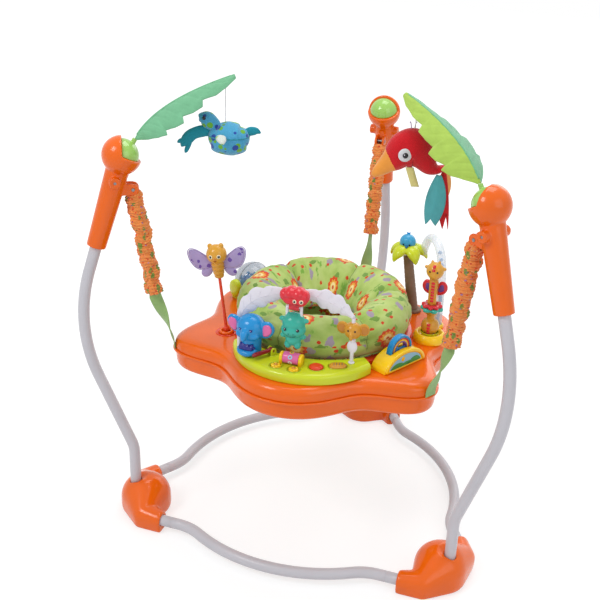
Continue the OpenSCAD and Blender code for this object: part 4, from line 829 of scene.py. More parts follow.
RED_CLOTH = cloth("red_cloth", (214, 34, 40))
PLUME_CLOTH = cloth("plume_cloth", (250, 176, 96))
TAG_CLOTH = cloth("tag_cloth", (226, 214, 140))
LILAC = cloth("tuft_cloth", (176, 140, 196))
feather("parrot_wing", (0.040, -0.008, -0.0799), -0.0074, -20, 0.036, 0.092, TEAL_CLOTH, fork=0.012)
feather("parrot_ribbon", (0.050, -0.001, -0.0747), 0.0106, 4, 0.020, 0.106, RED_CLOTH, fork=0.03, curl=0.002)
feather("parrot_plume", (0.053, 0.008, -0.0724), 0.0022, 24, 0.026, 0.054, PLUME_CLOTH)
tag = [[mm(i - 12 + w, 3 * sin(i / 4) - 16, -66 - 34 * i / 12) for w in (-7, -2, 2, 7)] for i in range(13)]
o = dress(cut_cloth("parrot_tag", tag, PARROT, 0.0014, offset=-1), "parrot", TAG_CLOTH)
for k, (u, lean, material) in enumerate(((-12, -4, LILAC), (-8, 4, CORD))):
    loop = [(u + lean * t, 0.8 * k - 1, 17 * sin(pi * min(1, t * 0.62)) - 8.5) for t in (i / 10 for i in range(11))]
    padded(parrot("parrot_tuft_%d" % k, tube(loop, 2.2, 10, 0.8, side=Y), material))


# Tray

SPLIT = 0.374          # height where the two shells meet
HOLE_R = 0.172         # radius of the hole for the seat
TRAY_STEPS = 288       # points round the tray
tray = maker(Matrix(), "tray")


def eased(a):
    """Angle from the rear post, eased so that the lobes are narrower than the bulges."""
    return a - pi / 2 + radians(6.3) * sin(3 * (a - pi / 2))


def tray_radius(a):
    k = eased(a)
    return 0.26275 + 0.0105 * cos(3 * k) + 0.02375 * cos(6 * k)


def shoulder(a):
    return 0.014 + 0.010 * (1 + cos(3 * eased(a)))


def round_row(radius, z):
    """Row of points round the upright axis; radius is a function of the angle."""
    return [Vector((radius(a) * cos(a), AXIS_Y + radius(a) * sin(a), z)) for a in turns(TRAY_STEPS)]


def tray_row(inset, z, slope=0):
    return round_row(lambda a: tray_radius(a) - inset - slope * shoulder(a), z)


def hole_row(r, z):
    return round_row(lambda a: r, z)


SLOPE = ((0.03, 0.3862), (0.09, 0.3902), (0.17, 0.3928), (0.28, 0.3952), (0.4, 0.3971), (0.55, 0.3986), (0.75, 0.3996),
         (1, DECK))
rows = [tray_row(*p) for p in ((0.002, SPLIT), (0.0004, 0.3748), (0, 0.376), (0, 0.381))]
rows += [tray_row(0, z, s) for s, z in SLOPE]
rows += [hole_row(*p) for p in ((0.1755, DECK), (0.1735, 0.3996), (0.1722, 0.3984), (HOLE_R, 0.396), (HOLE_R, SPLIT),
                                (0.175, SPLIT))]
tray("tray_upper", loft(rows, closed=True), ORANGE, "tray_top", "orange_plastic")
rows = [tray_row(*p) for p in ((0.003, SPLIT), (-0.0026, SPLIT), (-0.0037, 0.3734), (-0.004, 0.372), (-0.0037, 0.3706),
                               (-0.0026, 0.37), (0.0004, 0.3695), (0.001, 0.368), (0.002, 0.357), (0.003, 0.346),
                               (0.0045, 0.3408), (0.0072, 0.3372), (0.011, 0.3354), (0.016, 0.335))]
rows += [hole_row(*p) for p in ((0.1745, 0.335), (0.1725, 0.3356), (HOLE_R, 0.337), (HOLE_R, SPLIT))]
tray("tray_lower", loft(rows, closed=True), ORANGE, "tray_base", "orange_plastic")
STALK = on_tray((-0.169, -0.099), 12, DECK)
cup = lathe([(14.2, -0.2), (14.2, 2), (13.2, 4.6), (11.4, 5.6), (9.4, 5), (8.6, 2), (8.4, -0.2)], 48, closed=True)
maker(STALK, "tray")("stalk_cup", cup, ORANGE, slot="orange_plastic")

# Seat

CUSHION_R = 0.126      # radius of the cushion's middle line
CUSHION_HALF = 0.050   # half of its width
AROUND, ACROSS = 360, 48
SEAMS = [20, 78, 142, 205, 258, 318]
ring = [(161.2, 345), (169.2, 345), (170.4, 345.6), (171.2, 347), (171.2, 400.4), (178.8, 400.4), (179.8, 401),
        (180, 402.4), (180, 404.6), (179.4, 406.2), (177.6, 407.3), (163.2, 407.4), (161.6, 406.6), (161.2, 405)]
seat = maker(round_axis(0), "seat")
seat("seat_rim", lathe(ring, 192, closed=True), RED_ORANGE, "seat_ring", "seat_plastic")


def seat_print(name):
    """Printed cotton: mottled green with leaf marks, red dots and round sun flowers, laid out along the cloth."""
    m = Mat(name)
    uv = m.node("ShaderNodeUVMap", uv_map="cloth").outputs[0]
    col = m.ramp(m.noise(22, 4, vec=uv), [(0.3, (150, 184, 84)), (0.5, (182, 204, 114)), (0.72, (200, 216, 140))])
    splash = m.noise(48, 3, 0.6, vec=m.moved(loc=(3, 1, 0), scale=(1, 0.6, 1), vec=uv))
    col = m.mix(m.ramp(splash, [(0.6, grey(0)), (0.64, grey(1))]), col, lin((128, 176, 74)))

    def scatter(vec, pitch, randomness, least):
        """Cells of a print, and a mask that keeps those whose random value is above least."""
        v = m.cells(vec, 1 / pitch, randomness, voronoi_dimensions="2D")
        return v, m.math("GREATER_THAN", m.split(v["Color"])[0], least)

    for pitch, loc, stretch, rot, wobble, size, least, rgb in (
            (0.027, (0.013, 0.007, 0), (1, 0.6, 1), 0.5, 0.6, 0.2, 0.4, (166, 152, 168)),
            (0.023, (0.021, 0.003, 0), (0.6, 1, 1), 0.5, 0.5, 0.19, 0.45, (120, 158, 72)),
            (0.019, (0.005, 0.011, 0), (1, 1, 1), 0, 0.3, 0.17, 0.55, (214, 70, 36))):
        vec = m.wobbled(m.moved(loc, (0, 0, rot), stretch, uv), 2.5 / pitch, wobble * pitch)
        v, kept = scatter(vec, pitch, 0.8, least)
        col = m.mix(m.times(m.below(v["Distance"], size), kept), col, lin(rgb))
    vec = m.moved(loc=(0.02, 0.03, 0), vec=uv)
    v, kept = scatter(vec, 0.066, 0.5, 0.5)
    far = v["Distance"]
    x, y, _ = m.split(m.vector("SUBTRACT", vec, v["Position"]))
    scallop = m.times(m.math("COSINE", m.times(m.math("ARCTAN2", y, x), 11.0)), 0.018)
    for rgb, size, edge in (((226, 80, 40), 0.25, m.math("ADD", far, scallop)),
                            ((240, 176, 70), 0.175, m.math("ADD", far, m.times(scallop, -1.2))),
                            ((250, 226, 160), 0.12, far), ((214, 96, 44), 0.05, far)):
        col = m.mix(m.times(m.below(edge, size), kept), col, lin(rgb))
    x, y, _ = m.split(uv)
    threads = m.times(*(m.math("SINE", m.times(c, pi / 0.0009)) for c in (x, y)))
    return m.fabric(col, 0.9, 0.25, 0.5, 0.2, (threads, 0.25, 0.0004), (m.noise(70, 3), 0.3, 0.003))


PRINT = seat_print("seat_print")
# the cushion's section: out from its middle line, and up, as shares of its half width and height
SECTION = [(1.02, 0.43), (0.98, 0.62), (0.84, 0.8), (0.6, 0.93), (0.28, 1), (-0.08, 0.97), (-0.44, 0.86), (-0.76, 0.69),
           (-1, 0.5), (-1.16, 0.31), (-1.16, 0.16), (-1.06, 0.06), (-0.62, 0), (0, 0), (0.62, 0), (0.92, 0.19)]
section = smooth_loop(SECTION, ACROSS // len(SECTION))


def cushion():
    """Ring cushion: crowned sections, drawn in at sewn seams, with puckers that run out from each seam."""
    rings = []
    for deg in range(AROUND):
        c, s = cos(radians(deg)), sin(radians(deg))
        gap = min(abs((deg - seam + 180) % 360 - 180) for seam in SEAMS)
        d = radians(gap) * CUSHION_R
        pinch = 2.72 ** (-(d / 0.007) ** 1.2)
        wide = 2.72 ** (-(d / 0.034) ** 2)
        tall = 0.083 + 0.007 * s
        row = []
        for (x, h), a in zip(section, turns(ACROSS)):
            up = max(0, min(1, h * 4))
            n1 = noise.noise(Vector((c * 5, s * 5, a * 0.9)))
            fold = noise.noise(Vector((deg * 0.05, a * 2.6, gap * 0.02))) * 0.0044 * wide
            fold += noise.noise(Vector((deg * 0.16, a * 5, 3))) * 0.0015
            r = CUSHION_R + CUSHION_HALF * x * (1 - up * (0.16 * pinch + 0.04 * wide - 0.03 * n1)) + fold * cos(a)
            z = tall * max(0, h) * (1 - 0.14 * pinch - 0.03 * wide) + (fold + 0.0024 * n1) * up * max(0, sin(a))
            row.append(Vector((r * c, AXIS_Y + r * s, SEAT_TOP + max(0.0006, z))))
        rings.append(row)
    return rings


def lay_print(o, place):
    """UV map for the print; place(face's corners) gives each corner's place on the cloth."""
    uv = o.data.uv_layers.new(name="cloth")
    for p in o.data.polygons:
        for k, at in zip(p.loop_indices, place(p.vertices)):
            uv.data[k].uv = at


def along_cushion(corners):
    """Places along and across the cushion, which go on past the last row and point where a face closes the ring."""
    ij = [divmod(v, ACROSS) for v in corners]
    last_i, last_j = (max(p[k] for p in ij) == n - 1 for k, n in ((0, AROUND), (1, ACROSS)))
    return [(CUSHION_R * 2 * pi * (i + AROUND if last_i and i == 0 else i) / AROUND,
             0.24 * (j + ACROSS if last_j and j == 0 else j) / ACROSS) for i, j in ij]


def along_sling(corners):
    for q in (sling.data.vertices[v].co for v in corners):
        x, y = q.x, q.y - AXIS_Y
        yield atan2(y, x) * 0.12, q.z * 1.3 - sqrt(x ** 2 + y ** 2) * 0.6


rows = cushion()
o = drawn("ring_cushion", loft(rows, closed=True))
lay_print(o, along_cushion)
dress(o, "seat", PRINT, "seat_cushion", "seat_cloth")
outward(o.data)
STITCH = cloth("seam_thread", (138, 160, 80))
for deg in SEAMS:
    middle = Vector((CUSHION_R * cos(radians(deg)), AXIS_Y + CUSHION_R * sin(radians(deg)), 0.44))
    loop = [rows[deg][k % ACROSS] for k in range(-2, 27)]
    loop = [p + (p - middle).normalized() * 0.0002 for p in loop]
    padded(piece("cushion_seam_%d" % deg, sweep(loop, 0.0011, sides=8), "seat", STITCH))
sling = softened("sling_cloth", "seat_sling", "seat", PRINT, 0.0024, 8, "seat_cloth")
lay_print(sling, along_sling)


# Sound panel and its toys, drawn in millimetres

BROWN_EAR = plastic("bead_ear", (196, 128, 40))
TRUNK_LINE = plastic("trunk_line", (18, 112, 178))
EYE = plastic("eye_cream", (250, 236, 200), rough=0.2)
DEEP_PURPLE = plastic("deep_purple", (112, 62, 150))
SKY = plastic("sky_print", (150, 208, 232), rough=0.45, coat=0.1)
GRASS = plastic("grass_print", (70, 156, 66), rough=0.45, coat=0.1)
GREY = plastic("grey_rim", (150, 158, 166), rough=0.2)
OLIVE = plastic("lime_rim", (176, 190, 20))


def eye(make, name, at, r, way, pupil):
    """Printed eye: a cream round with a dark pupil and a small glint."""
    w = Vector(way).normalized()
    p = Vector(at)
    make(name, disc(p, r, 0.9, w, 24), EYE)
    make(name + "_pupil", disc(p + w * 0.75, r * pupil, 0.7, w, 20), BLACK)
    make(name + "_glint", disc(p + w * 1.35 + Vector((-0.2 * r, 0, 0.25 * r)), r * 0.16, 0.4, w, 12), WHITE)


def oval(r, z, angles):
    """Long round of two half circles, 12 apart."""
    return [(cos(t) * r + (6 if cos(t) > 0 else -6), sin(t) * r, z) for t in angles]


softened("panel_body", "music_panel", "tray", LIME, 0.0012, 4, "lime_plastic")
PLACES = {"left": on_tray((-0.014, -0.229), 0, PANEL_TOP), "right": on_tray((0.021, -0.231), 0, PANEL_TOP),
          "red": on_tray((0.056, -0.208), 0, PANEL_TOP), "amber": on_tray((0.091, -0.189), 25, PANEL_TOP)}
for name, r in (("left", 12.4), ("right", 12.4), ("red", 15.2)):
    rim = lathe([(r - 1.2, -0.2), (r - 1.1, 0.7), (r, 1.1), (r + 1.1, 0.7), (r + 1.4, -0.2)], 40, closed=True)
    maker(PLACES[name], "tray")("rim_" + name, rim, OLIVE)
maker(PLACES["amber"], "tray")("rim_amber", tube(oval(12.2, 0.3, turns(48) + [2 * pi]), 1.2, 10, 0.9), OLIVE)
for _, side in SIDES:
    flower = maker(PLACES[side], "flower_" + side)
    petals = [ball((5.9 * cos(a), 5.9 * sin(a), 0.6), (4.0, 3.6, 2.5), 20, 10, (a, "Z")) for a in turns(6)]
    skirt = lathe([(9.5, -8), (9.5, -1), (8.6, 0.4), (2, 0.8)], 36)
    flower("flower_petals_" + side, join(skirt, *petals), YELLOW, "button_flower_" + side, "yellow_plastic")
    flower("flower_middle_" + side, ball((0, 0, 1.6), (4.4, 4.4, 3.2)), AMBER)
push = [(10.6, -5.6), (12.2, -5), (13, -3.6), (13, 1.8), (12.6, 2.7), (11.6, 3.1), (10.9, 3.3), (10.4, 4.3), (8.8, 4.9),
        (5, 5), (0.8, 5)]
maker(PLACES["red"], "red_button")("red_push", lathe(push), RED_ORANGE, "button_red", "seat_plastic")
amber = maker(PLACES["amber"], "amber_button")
push = [(7.6, -5.6), (9.2, -5), (10, -3.6), (10, 2), (9.6, 2.8), (8.6, 3.2), (8, 3.5), (7.6, 4.5), (6.2, 4.95),
        (3, 5.0), (0.4, 5.0)]
angles = [2 * pi * (k + 0.5) / 48 for k in range(48)]
push = loft([[mm(*p) for p in oval(r, z, angles)] for r, z in push])
amber("amber_push", push, AMBER, "button_amber", "amber_plastic")
amber("amber_marks", join(*[rod((x, -5.2, 4.9), (x + 2, 5.2, 4.9), 0.7, 10) for x in (-8, -3, 2, 7)]), BROWN)

# Picture roller between yellow cheeks, and the lever
ROLLER = on_tray((0.010, -0.212), 0, 0.432)
roller = maker(ROLLER, "picture_roller")
drum = tube([(x, 0, 0) for x in (-15, -14.6, -13.6, 13.6, 14.6, 15)], [9.8, 10.6, 11, 11, 10.6, 9.8], 48,
            lump=lambda s, t: 1 - 0.012 * (1 - abs(cos(3 * t))))
roller("picture_drum", join(drum, rod((-20, 0, 0), (20, 0, 0), 3)), PINK, "picture_roller", "pink_plastic")
for k in range(6):
    way_out = Vector((0, cos(pi * k / 3 + 0.5), sin(pi * k / 3 + 0.5)))
    roller("drum_dot_%d" % k, disc(way_out * 10.85, 4.2, 0.5, way_out, 20, 0.25), (WHITE, YELLOW, SKY)[k % 3])
    roller("drum_spot_%d" % k, disc(way_out * 11.15, 1.8, 0.5, way_out, 16, 0.2), (RED, NAVY, RED)[k % 3])
edge = [(-9.6, -11.5), (-9.9, 0), (-8.2, 5.6), (-4.6, 8.8), (0, 9.9), (4.6, 8.8), (8.2, 5.6), (9.9, 0), (9.6, -11.5)]
for s, side in SIDES:
    cheek = [[mm(s * x, y * k, z * k if z > 0 else z) for y, z in edge]
             for x, k in ((15.5, 1.0), (15.6, 1.03), (20.4, 1.03), (21.2, 1.0), (21.6, 0.93))]
    maker(ROLLER, "tray")("roller_cheek_" + side, loft(cheek), YELLOW)
bar = tube([(x, 0, 0) for x in (-4.4, -3.6, 0, 6, 12, 18, 24, 30, 36, 40, 42.4, 43.6)],
           [2.4, 3.6, 4, 4, 4, 4, 4, 4, 4, 3.8, 2.8, 1.2], 24)
knobs = [ball((x, 0, 3.0), (2.2, 2.2, 1.6), 14, 8) for x in range(8, 40, 5)]
maker(on_tray((-0.037, -0.192), -122, 0.43), "lever")(
    "lever_bar", join(bar, rod((0, -6.6, 0), (0, 6.6, 0), 4.6), *knobs), MAROON, "panel_lever", "maroon_plastic")

# White leaf arch, its post and bead
ARCH = on_tray((0.006, -0.174), 4.6, PANEL_TOP)
ARCH_T = 3.9           # half of the arch's thickness
arch = maker(ARCH, "tray")
spine = [(-112, 0, 44 * k / 5) for k in range(5)]
spine += [bez((-112, 0, 44), (-108, 0, 116), (0, 0, 126), k / 30) for k in range(30)]
spine += [bez((0, 0, 126), (64.5, 0, 126), (104, 0, 91), k / 28) for k in range(29)]
# half width of the arch at points along its spine
WIDTHS = [(0, 4), (4, 5), (9, 8), (14, 12), (19, 15), (23, 16), (28, 12), (33, 8), (35, 8), (40, 10), (46, 15),
          (52, 16), (57, 12), (60, 7), (62, 4.6)]
rows, edge = [], []
for i, (p, u, w) in enumerate(frames([mm(*q) for q in spine], Y)):
    h = between(WIDTHS, i)
    lobe = abs(sin(pi * i / 6.2)) ** 0.6 if 8 < i < 32 or 38 < i < 60 else 0.5
    h = h * (0.84 + 0.22 * lobe + 0.26 * lobe * max(0, min(1, (h - 9) / 5)))
    flat = min(1, (h - 4) / 8) if h > 4 else 0
    row = []
    for t in turns(24):
        thick = ARCH_T * (1 - flat * 0.55 * abs(cos(t)) ** 1.4 + flat * 0.24 * (lobe - 0.6))
        row.append(p + w * (h * MM * cos(t)) + u * (thick * MM * sin(t)))
    rows.append(row)
    edge.append((p, u, w * (h * MM)))
arch("leaf_arch", loft(rows), WHITE, "toy_arch", "white_plastic")
veins = []
for s in (-MM, MM):
    for lo, hi in ((9, 31), (38, 59)):
        veins.append(sweep([p + u * (ARCH_T * s) for p, u, _ in edge[lo:hi]], 0.0007, sides=8))
        for i in range(lo + 1, hi - 3, 4):
            for t in (-1, 1):
                (p, u, _), (q, v, w) = edge[i], edge[i + 2]
                a, b = p + u * (3.7 * s), q + w * (t * 0.78) + v * (2.6 * s)
                veins.append(sweep([a.lerp(b, k / 4) + u * (0.2 * s * sin(pi * k / 4)) for k in range(5)],
                                   [0.0006, 0.0006, 0.0005, 0.0004, 0.0002], sides=8))
arch("leaf_veins", join(*veins), WHITE)
post = [rod((104, 0, 0), (104, 0, 91), 3.5), rod((-112, 0, 0), (-112, 0, 6), 4.2), ball((104, 0, 33), (9.6, 3.6, 13)),
        disc((104, 0, 47), 6, 3.4, (0, 0, 1)), disc((104, 0, 1.2), 6, 2.4, (0, 0, 1))]
arch("bead_post", join(*post), WHITE)
bead = maker(ARCH @ shift(*mm(104, 0, 66)), "bead")
trunk = tube([(0, -13, -1), (0, -16, -3), (0, -17.5, -8), (0, -16.5, -12.4)], [4.6, 4.4, 3.6, 2.6], 20)
head = join(ball((0, 0, 0), (16.4, 15.6, 16.2)), *pair((19.5, 1, 3), (11.2, 3.4, 12.6), tilt=0.15), trunk)
bead("bead_head", head, AMBER, "amber_bead", "amber_plastic", remesh=0.0009, soften=6)
for s, side in SIDES:
    bead("bead_eye_" + side, disc((s * 6.4, -14.4, 4.4), 1.7, 0.9, (s * 0.35, -1, 0.22), 16), BLACK)
    bead("bead_ear_pad_" + side, ball((s * 21, -1.9, 3), (7.4, 1.2, 8.6)), BROWN_EAR)

# Red bug over the arch
LUMPS = (((-18, -24.4, 131), (10, 14, 12)), ((-7, -24.4, 135), (13, 18, 12)), ((7, -25, 134), (14, 18, 13)),
         ((18, -24.4, 129), (9.5, 15, 12.5)), ((-5, -26, 123), (17, 16.5, 9)), ((10, -31, 124), (15, 13, 11)))
lug = join(rod((-9.4, -26.4, 109), (9.4, -26.4, 109), 6.8), ball((0, -26, 114), (9, 9, 9)))
arch("bug_body", join(*[ball(*p) for p in LUMPS], lug), RED, "arch_bug", "red_plastic", remesh=0.0011, soften=5)
for s, side in SIDES:
    eye(arch, "bug_eye_" + side, (10 + s * 6, -43 + (0.8 if s > 0 else 0.3), 126), 3.8, (s * 0.28, -1, 0.1), 0.6)
smile = [(6 + k, -43.8 + 0.35 * abs(k - 3) / 3, 120.2 + 1.1 * ((k - 3) / 3) ** 2) for k in range(7)]
arch("bug_smile", tube(smile, 0.6, 8), MAROON)

# Hippo on its swing
HIPPO_MARK = plastic("hippo_mark", (28, 120, 110))
hippo = maker(ARCH @ shift(*mm(0, -26.4, 0)), "hippo")
hippo("swing_rods", join(rod((-13, 0, 109), (13, 0, 109), 3),
                         *[rod((s * 13, 0, 84), (s * 13, 0, 111), 3) for s, _ in SIDES]), WHITE)
parts = [ball((0, 0, 79), (21.6, 19.6, 18.6)), ball((0, -2, 66), (23, 19.4, 16)), ball((0, 0, 47), (15, 15, 14)),
         *pair((11.5, 0, 95.4), (3, 3, 4.4)), *pair((4.4, -1, 96), (2.6, 2.4, 2.8)),
         *pair((22.6, 0, 84), (5.4, 4.6, 4.2), tilt=0.4), *pair((18, -3, 53), (6, 6, 5)),
         *pair((9, -4, 36), (6.8, 8, 8))]
hippo("hippo_body", join(*parts), TEAL, "swing_hippo", "teal_plastic", remesh=0.001, soften=5)
for s, side in SIDES:
    look = (s * 0.55, -1, 0.1)
    hippo("hippo_eye_" + side, disc((s * 12, -18.6, 71), 3, 1, look, 20), BLACK)
    hippo("hippo_glint_" + side, disc((s * 11.6 - 0.6, -19.8, 72.2), 0.8, 0.5, look, 10), WHITE)
    hippo("hippo_nostril_" + side, disc((s * 4.4, -20.9, 63.4), 1.3, 0.7, (s * 0.1, -1, 0.05), 14), HIPPO_MARK)
smile = [(1.8 * k, -20.5 + 0.1 * k ** 2, 57 + 0.09 * k ** 2) for k in range(-5, 6)]
hippo("hippo_smile", tube(smile, 0.6, 8), HIPPO_MARK)

# Elephant head
ELE = on_tray((-0.076, -0.197), -6, PANEL_TOP)
ele = maker(ELE, "tray")
EAR = [(18, 40), (17, 58), (26, 69), (40, 71), (49, 62), (48, 50), (40, 40), (28, 35)]
EAR_PAD = [(27, 44), (26, 57), (31, 64), (40, 65.5), (45, 59), (44, 51), (38, 44), (31, 41)]


def half_loop(points, s):
    """Smooth outline on the left (-1) or right (1) of a toy."""
    return smooth_loop([(s * u, z) for u, z in points])


neck = lathe([(17.5, 0), (19.6, 0.8), (20, 3), (19.2, 12), (19.6, 24), (21, 36)], 40)
jaw = tube([(16.5 * cos(a), -13 - 11.5 * sin(a), 13 - 5 * sin(a)) for a in (pi * k / 14 for k in range(15))],
           [4.2 + 1.6 * sin(pi * k / 14) for k in range(15)], 20)
face = [ball((0, 0, 53), (28, 25, 24)), ball((0, -8, 42), (24, 16.5, 13)), *pair((14, -14, 42), (10, 8, 8))]
ears = [pad(half_loop(EAR, s), 4.6, -2) for s, _ in SIDES]
trunk = tube([(0, -21, 52), (0, -26, 48), (0, -29.4, 43.4), (0, -30.6, 38.6), (0, -29.8, 35.2)],
             [7.6, 7.6, 6.8, 5.4, 3], 24)
ele("elephant_head", join(neck, jaw, *face, *ears, trunk), BLUE, "elephant", "blue_plastic", remesh=0.0012, soften=5)
ele("elephant_mouth", ball((0, -9, 22), (15.5, 8, 9)), plastic("mouth_dark", (30, 60, 132)))
for s, side in SIDES:
    look = (s * 0.42, -1, 0.1)
    ele("ear_pad_" + side, pad(half_loop(EAR_PAD, s), 1.6, -5.9), PINK)
    ele("elephant_eye_" + side, disc((s * 11.4, -22.4, 54), 2.3, 1, look, 20), NAVY)
    ele("elephant_glint_" + side, disc((s * 11 - 0.5, -23.2, 55), 0.7, 0.5, look, 10), WHITE)
    lid = [(s * (8.4 + 1.2 * k), -23.9 + 0.55 * k, 56.2 + 0.5 * k - 0.12 * k * k) for k in range(6)]
    ele("elephant_lid_" + side, tube(lid, 0.6, 8), NAVY)
for k in range(3):
    line = [(6.8 * cos(a), -29.8 + 1.2 * k - 3.4 * abs(cos(a)) ** 2, 41.4 + 3.2 * k)
            for a in (pi * (0.18 + 0.64 * j / 8) for j in range(9))]
    ele("trunk_line_%d" % k, tube(line, 0.4, 6), TRUNK_LINE)


def studs(s):
    """Studs that have gone by along the mouth roller."""
    return s * 26 / 4.4


roll = tube([(k - 13, -15, 17) for k in range(27)], 9.4, 40, lump=lambda s, t: (
    0.93 + 0.12 * max(0, cos(6 * t + pi * int(studs(s)))) * (0.4 + 0.6 * abs(sin(pi * studs(s))))))
maker(ELE, "mouth_roller")("mouth_drum", join(roll, rod((-16, -15, 17), (16, -15, 17), 3)), NAVY, "elephant_roller",
                           "navy_plastic")


# Butterfly on its springy stalk

STALK_TOP = on_tray((-0.169, -0.099), 12, SEAT_TOP) @ spin(-7, "Y")
GOLD = plastic("gold_plastic", (222, 162, 54))
WING = speckled("wing_print", (178, 160, 208), [((108, 76, 164), 62, 0.27, (1, 1, 1))], seed=1.3)
UPPER = [(10, 131), (12, 146), (24, 157), (40, 168), (52, 170), (57, 162), (54, 146), (46, 133), (36, 127), (22, 127)]
LOWER = [(9, 131), (20, 131), (32, 127), (36, 119), (32, 111), (22, 111), (13, 119)]
butterfly = maker(STALK_TOP, "butterfly")
stalk = lathe([(0.5, -7), (4, -5.8), (6.4, -2.8), (7, 0), (6.4, 2.8), (4.6, 5.2), (3.4, 6.6), (3, 9), (3, 60), (3, 119),
               (2, 120)], 32)
butterfly("stalk_rod", stalk, RED_ORANGE, "butterfly_stalk", "seat_plastic")
well = lathe([(12.5, -0.6), (12.5, 0.3), (17.2, 0.4), (18.4, 1.3), (19.6, 1.6), (20.8, 1.3), (21.8, -0.6)], 56)
maker(STALK, "tray")("stalk_well", well, RED_ORANGE)
body = lathe([(3.4, 109.6), (7.6, 110.4), (9.2, 112.4), (9.4, 115), (8.7, 116.4), (10.2, 118), (10.9, 120.6),
              (10.9, 123), (10, 124.8), (11.4, 126.4), (12.1, 129), (12.1, 131.6), (11, 133.4), (12.2, 135),
              (12.6, 137.4), (12, 140.6), (10, 143), (7, 146)], 40)
butterfly("butterfly_body", body, AMBER, "butterfly", "amber_plastic")
head = join(ball((0, 0, 158), (20, 18.6, 19.4)), *pair((11, 0, 174.6), (5, 4.6, 5.4)))
butterfly("butterfly_head", head, GOLD, remesh=0.001, soften=5)
for s, side in SIDES:
    eye(butterfly, "butterfly_eye_" + side, (s * 8, -17.1, 158), 4.0, (s * 0.44, -1, 0.02), 0.62)
butterfly("butterfly_nose", ball((0, -18.4, 153.6), (2, 1.3, 1.5), 16, 8),
          plastic("butterfly_nose_paint", (214, 120, 60)))
smile = [(0.8 * k, -17.9 + 0.05 * k ** 2, 148.6 + 0.12 * k ** 2) for k in range(-3, 4)]
butterfly("butterfly_smile", tube(smile, 0.6, 8), MAROON)
for s, side in SIDES:
    upper = half_loop(UPPER, s)
    padded(butterfly("wing_upper_" + side, pad(upper, 3.2, 1), WING, "butterfly_wings", "wing_cloth", subdiv=1))
    padded(butterfly("wing_lower_" + side, pad(half_loop(LOWER, s), 2.8, 2.6), WING, slot="wing_cloth", subdiv=1))
    hem = [(u, 1, z) for u, z in upper + upper[:1]]
    padded(butterfly("wing_hem_" + side, tube(hem, 0.9, 8), LILAC_CLOTH))

# Clear bead ball in its bracket
BEADS = plastic("bead_blue", (64, 158, 222), rough=0.15)
BALL = on_tray((0.222 * cos(radians(152)), 0.222 * sin(radians(152))), 152, 0.43)
clear = maker(BALL, "ball")
pins = [rod((0, -49.2, 0), (0, -39.6, 0), 4), rod((0, 39.6, 0), (0, 49.2, 0), 4)]
clear("ball_shell", join(ball((0, 0, 0), 40, 64, 40), *pins), CLEAR, "bead_ball", "clear_plastic")
hoop = lathe([(39.6, -1.6), (40.2, -1.6), (40.5, 0), (40.2, 1.6), (39.6, 1.6)], 72, closed=True)
maker(BALL @ spin(90, "Y"), "ball")("ball_seam", hoop, GREY)
beads = []
for i in range(46):
    a, b, c = (noise.noise(Vector((i * 1.7 + k * 9.3, 0.4 * k, i * 0.31))) for k in range(3))
    p = Vector((a * 44, b * 44, 1 + c * 8 + (a * a + b * b) * 8))
    if p.length < 33.5:
        beads.append(ball(p, 3.6 + 0.8 * c, 14, 9))
clear("ball_beads", join(*beads), BEADS)
clear("ball_sheet", disc((0, 0, -3), 29, 2.4, (0, 0.12, 1), 48), plastic("ball_disc", (88, 170, 216), rough=0.2))
softened("bracket_body", "ball_bracket", "tray", LIME, 0.0011, 5, "lime_plastic")
for s, end in ENDS:
    cap = [[mm(15 * k * cos(t), s * y, (17 if sin(t) > 0 else 22) * k * sin(t) - 4) for t in turns(40)]
           for k, y in ((0.9, 42.4), (1, 43.4), (1.02, 48), (0.97, 52.6), (0.84, 54.6), (0.3, 55.4))]
    maker(BALL, "tray")("bracket_cap_" + end, loft(cap), LIME)

# Rainbow wheel in its base
ROUND = 332.4          # place round the tray, in degrees
RAIN = on_tray((0.205 * cos(radians(ROUND)), 0.205 * sin(radians(ROUND))), ROUND + 90, DECK)
HILL_W, HILL_H = 45, 25
rain, wheel = maker(RAIN, "tray"), maker(RAIN @ shift(0, 0, 0.03) @ spin(90, "X"), "rainbow")
softened("rainbow_body", "rainbow_base", "tray", YELLOW, 0.0011, 6, "yellow_plastic")


def arc(w, h, n, u=0):
    """Upper half of an ellipse, as (u, z)."""
    return [(u + w * cos(pi * k / n), h * sin(pi * k / n) + 2) for k in range(n + 1)]


def plate(outline, y, t):
    """Thin plate with its face toward -Y."""
    return loft([[mm(u * k, y + d, (z - 2) * k + 2) for u, z in outline]
                 for k, d in ((1, 0), (1, -t * 0.7), (0.985, -t), (0.05, -t))])


def band(r0, r1, t):
    """One colour of the rainbow: a ring between two radii, t deep to both sides."""
    return lathe([(r0, -t), (r1 - 0.8, -t), (r1 - 0.2, -t + 0.3), (r1, -t + 1), (r1, t - 1), (r1 - 0.2, t - 0.3),
                  (r1 - 0.8, t), (r0, t)], 72, closed=True)


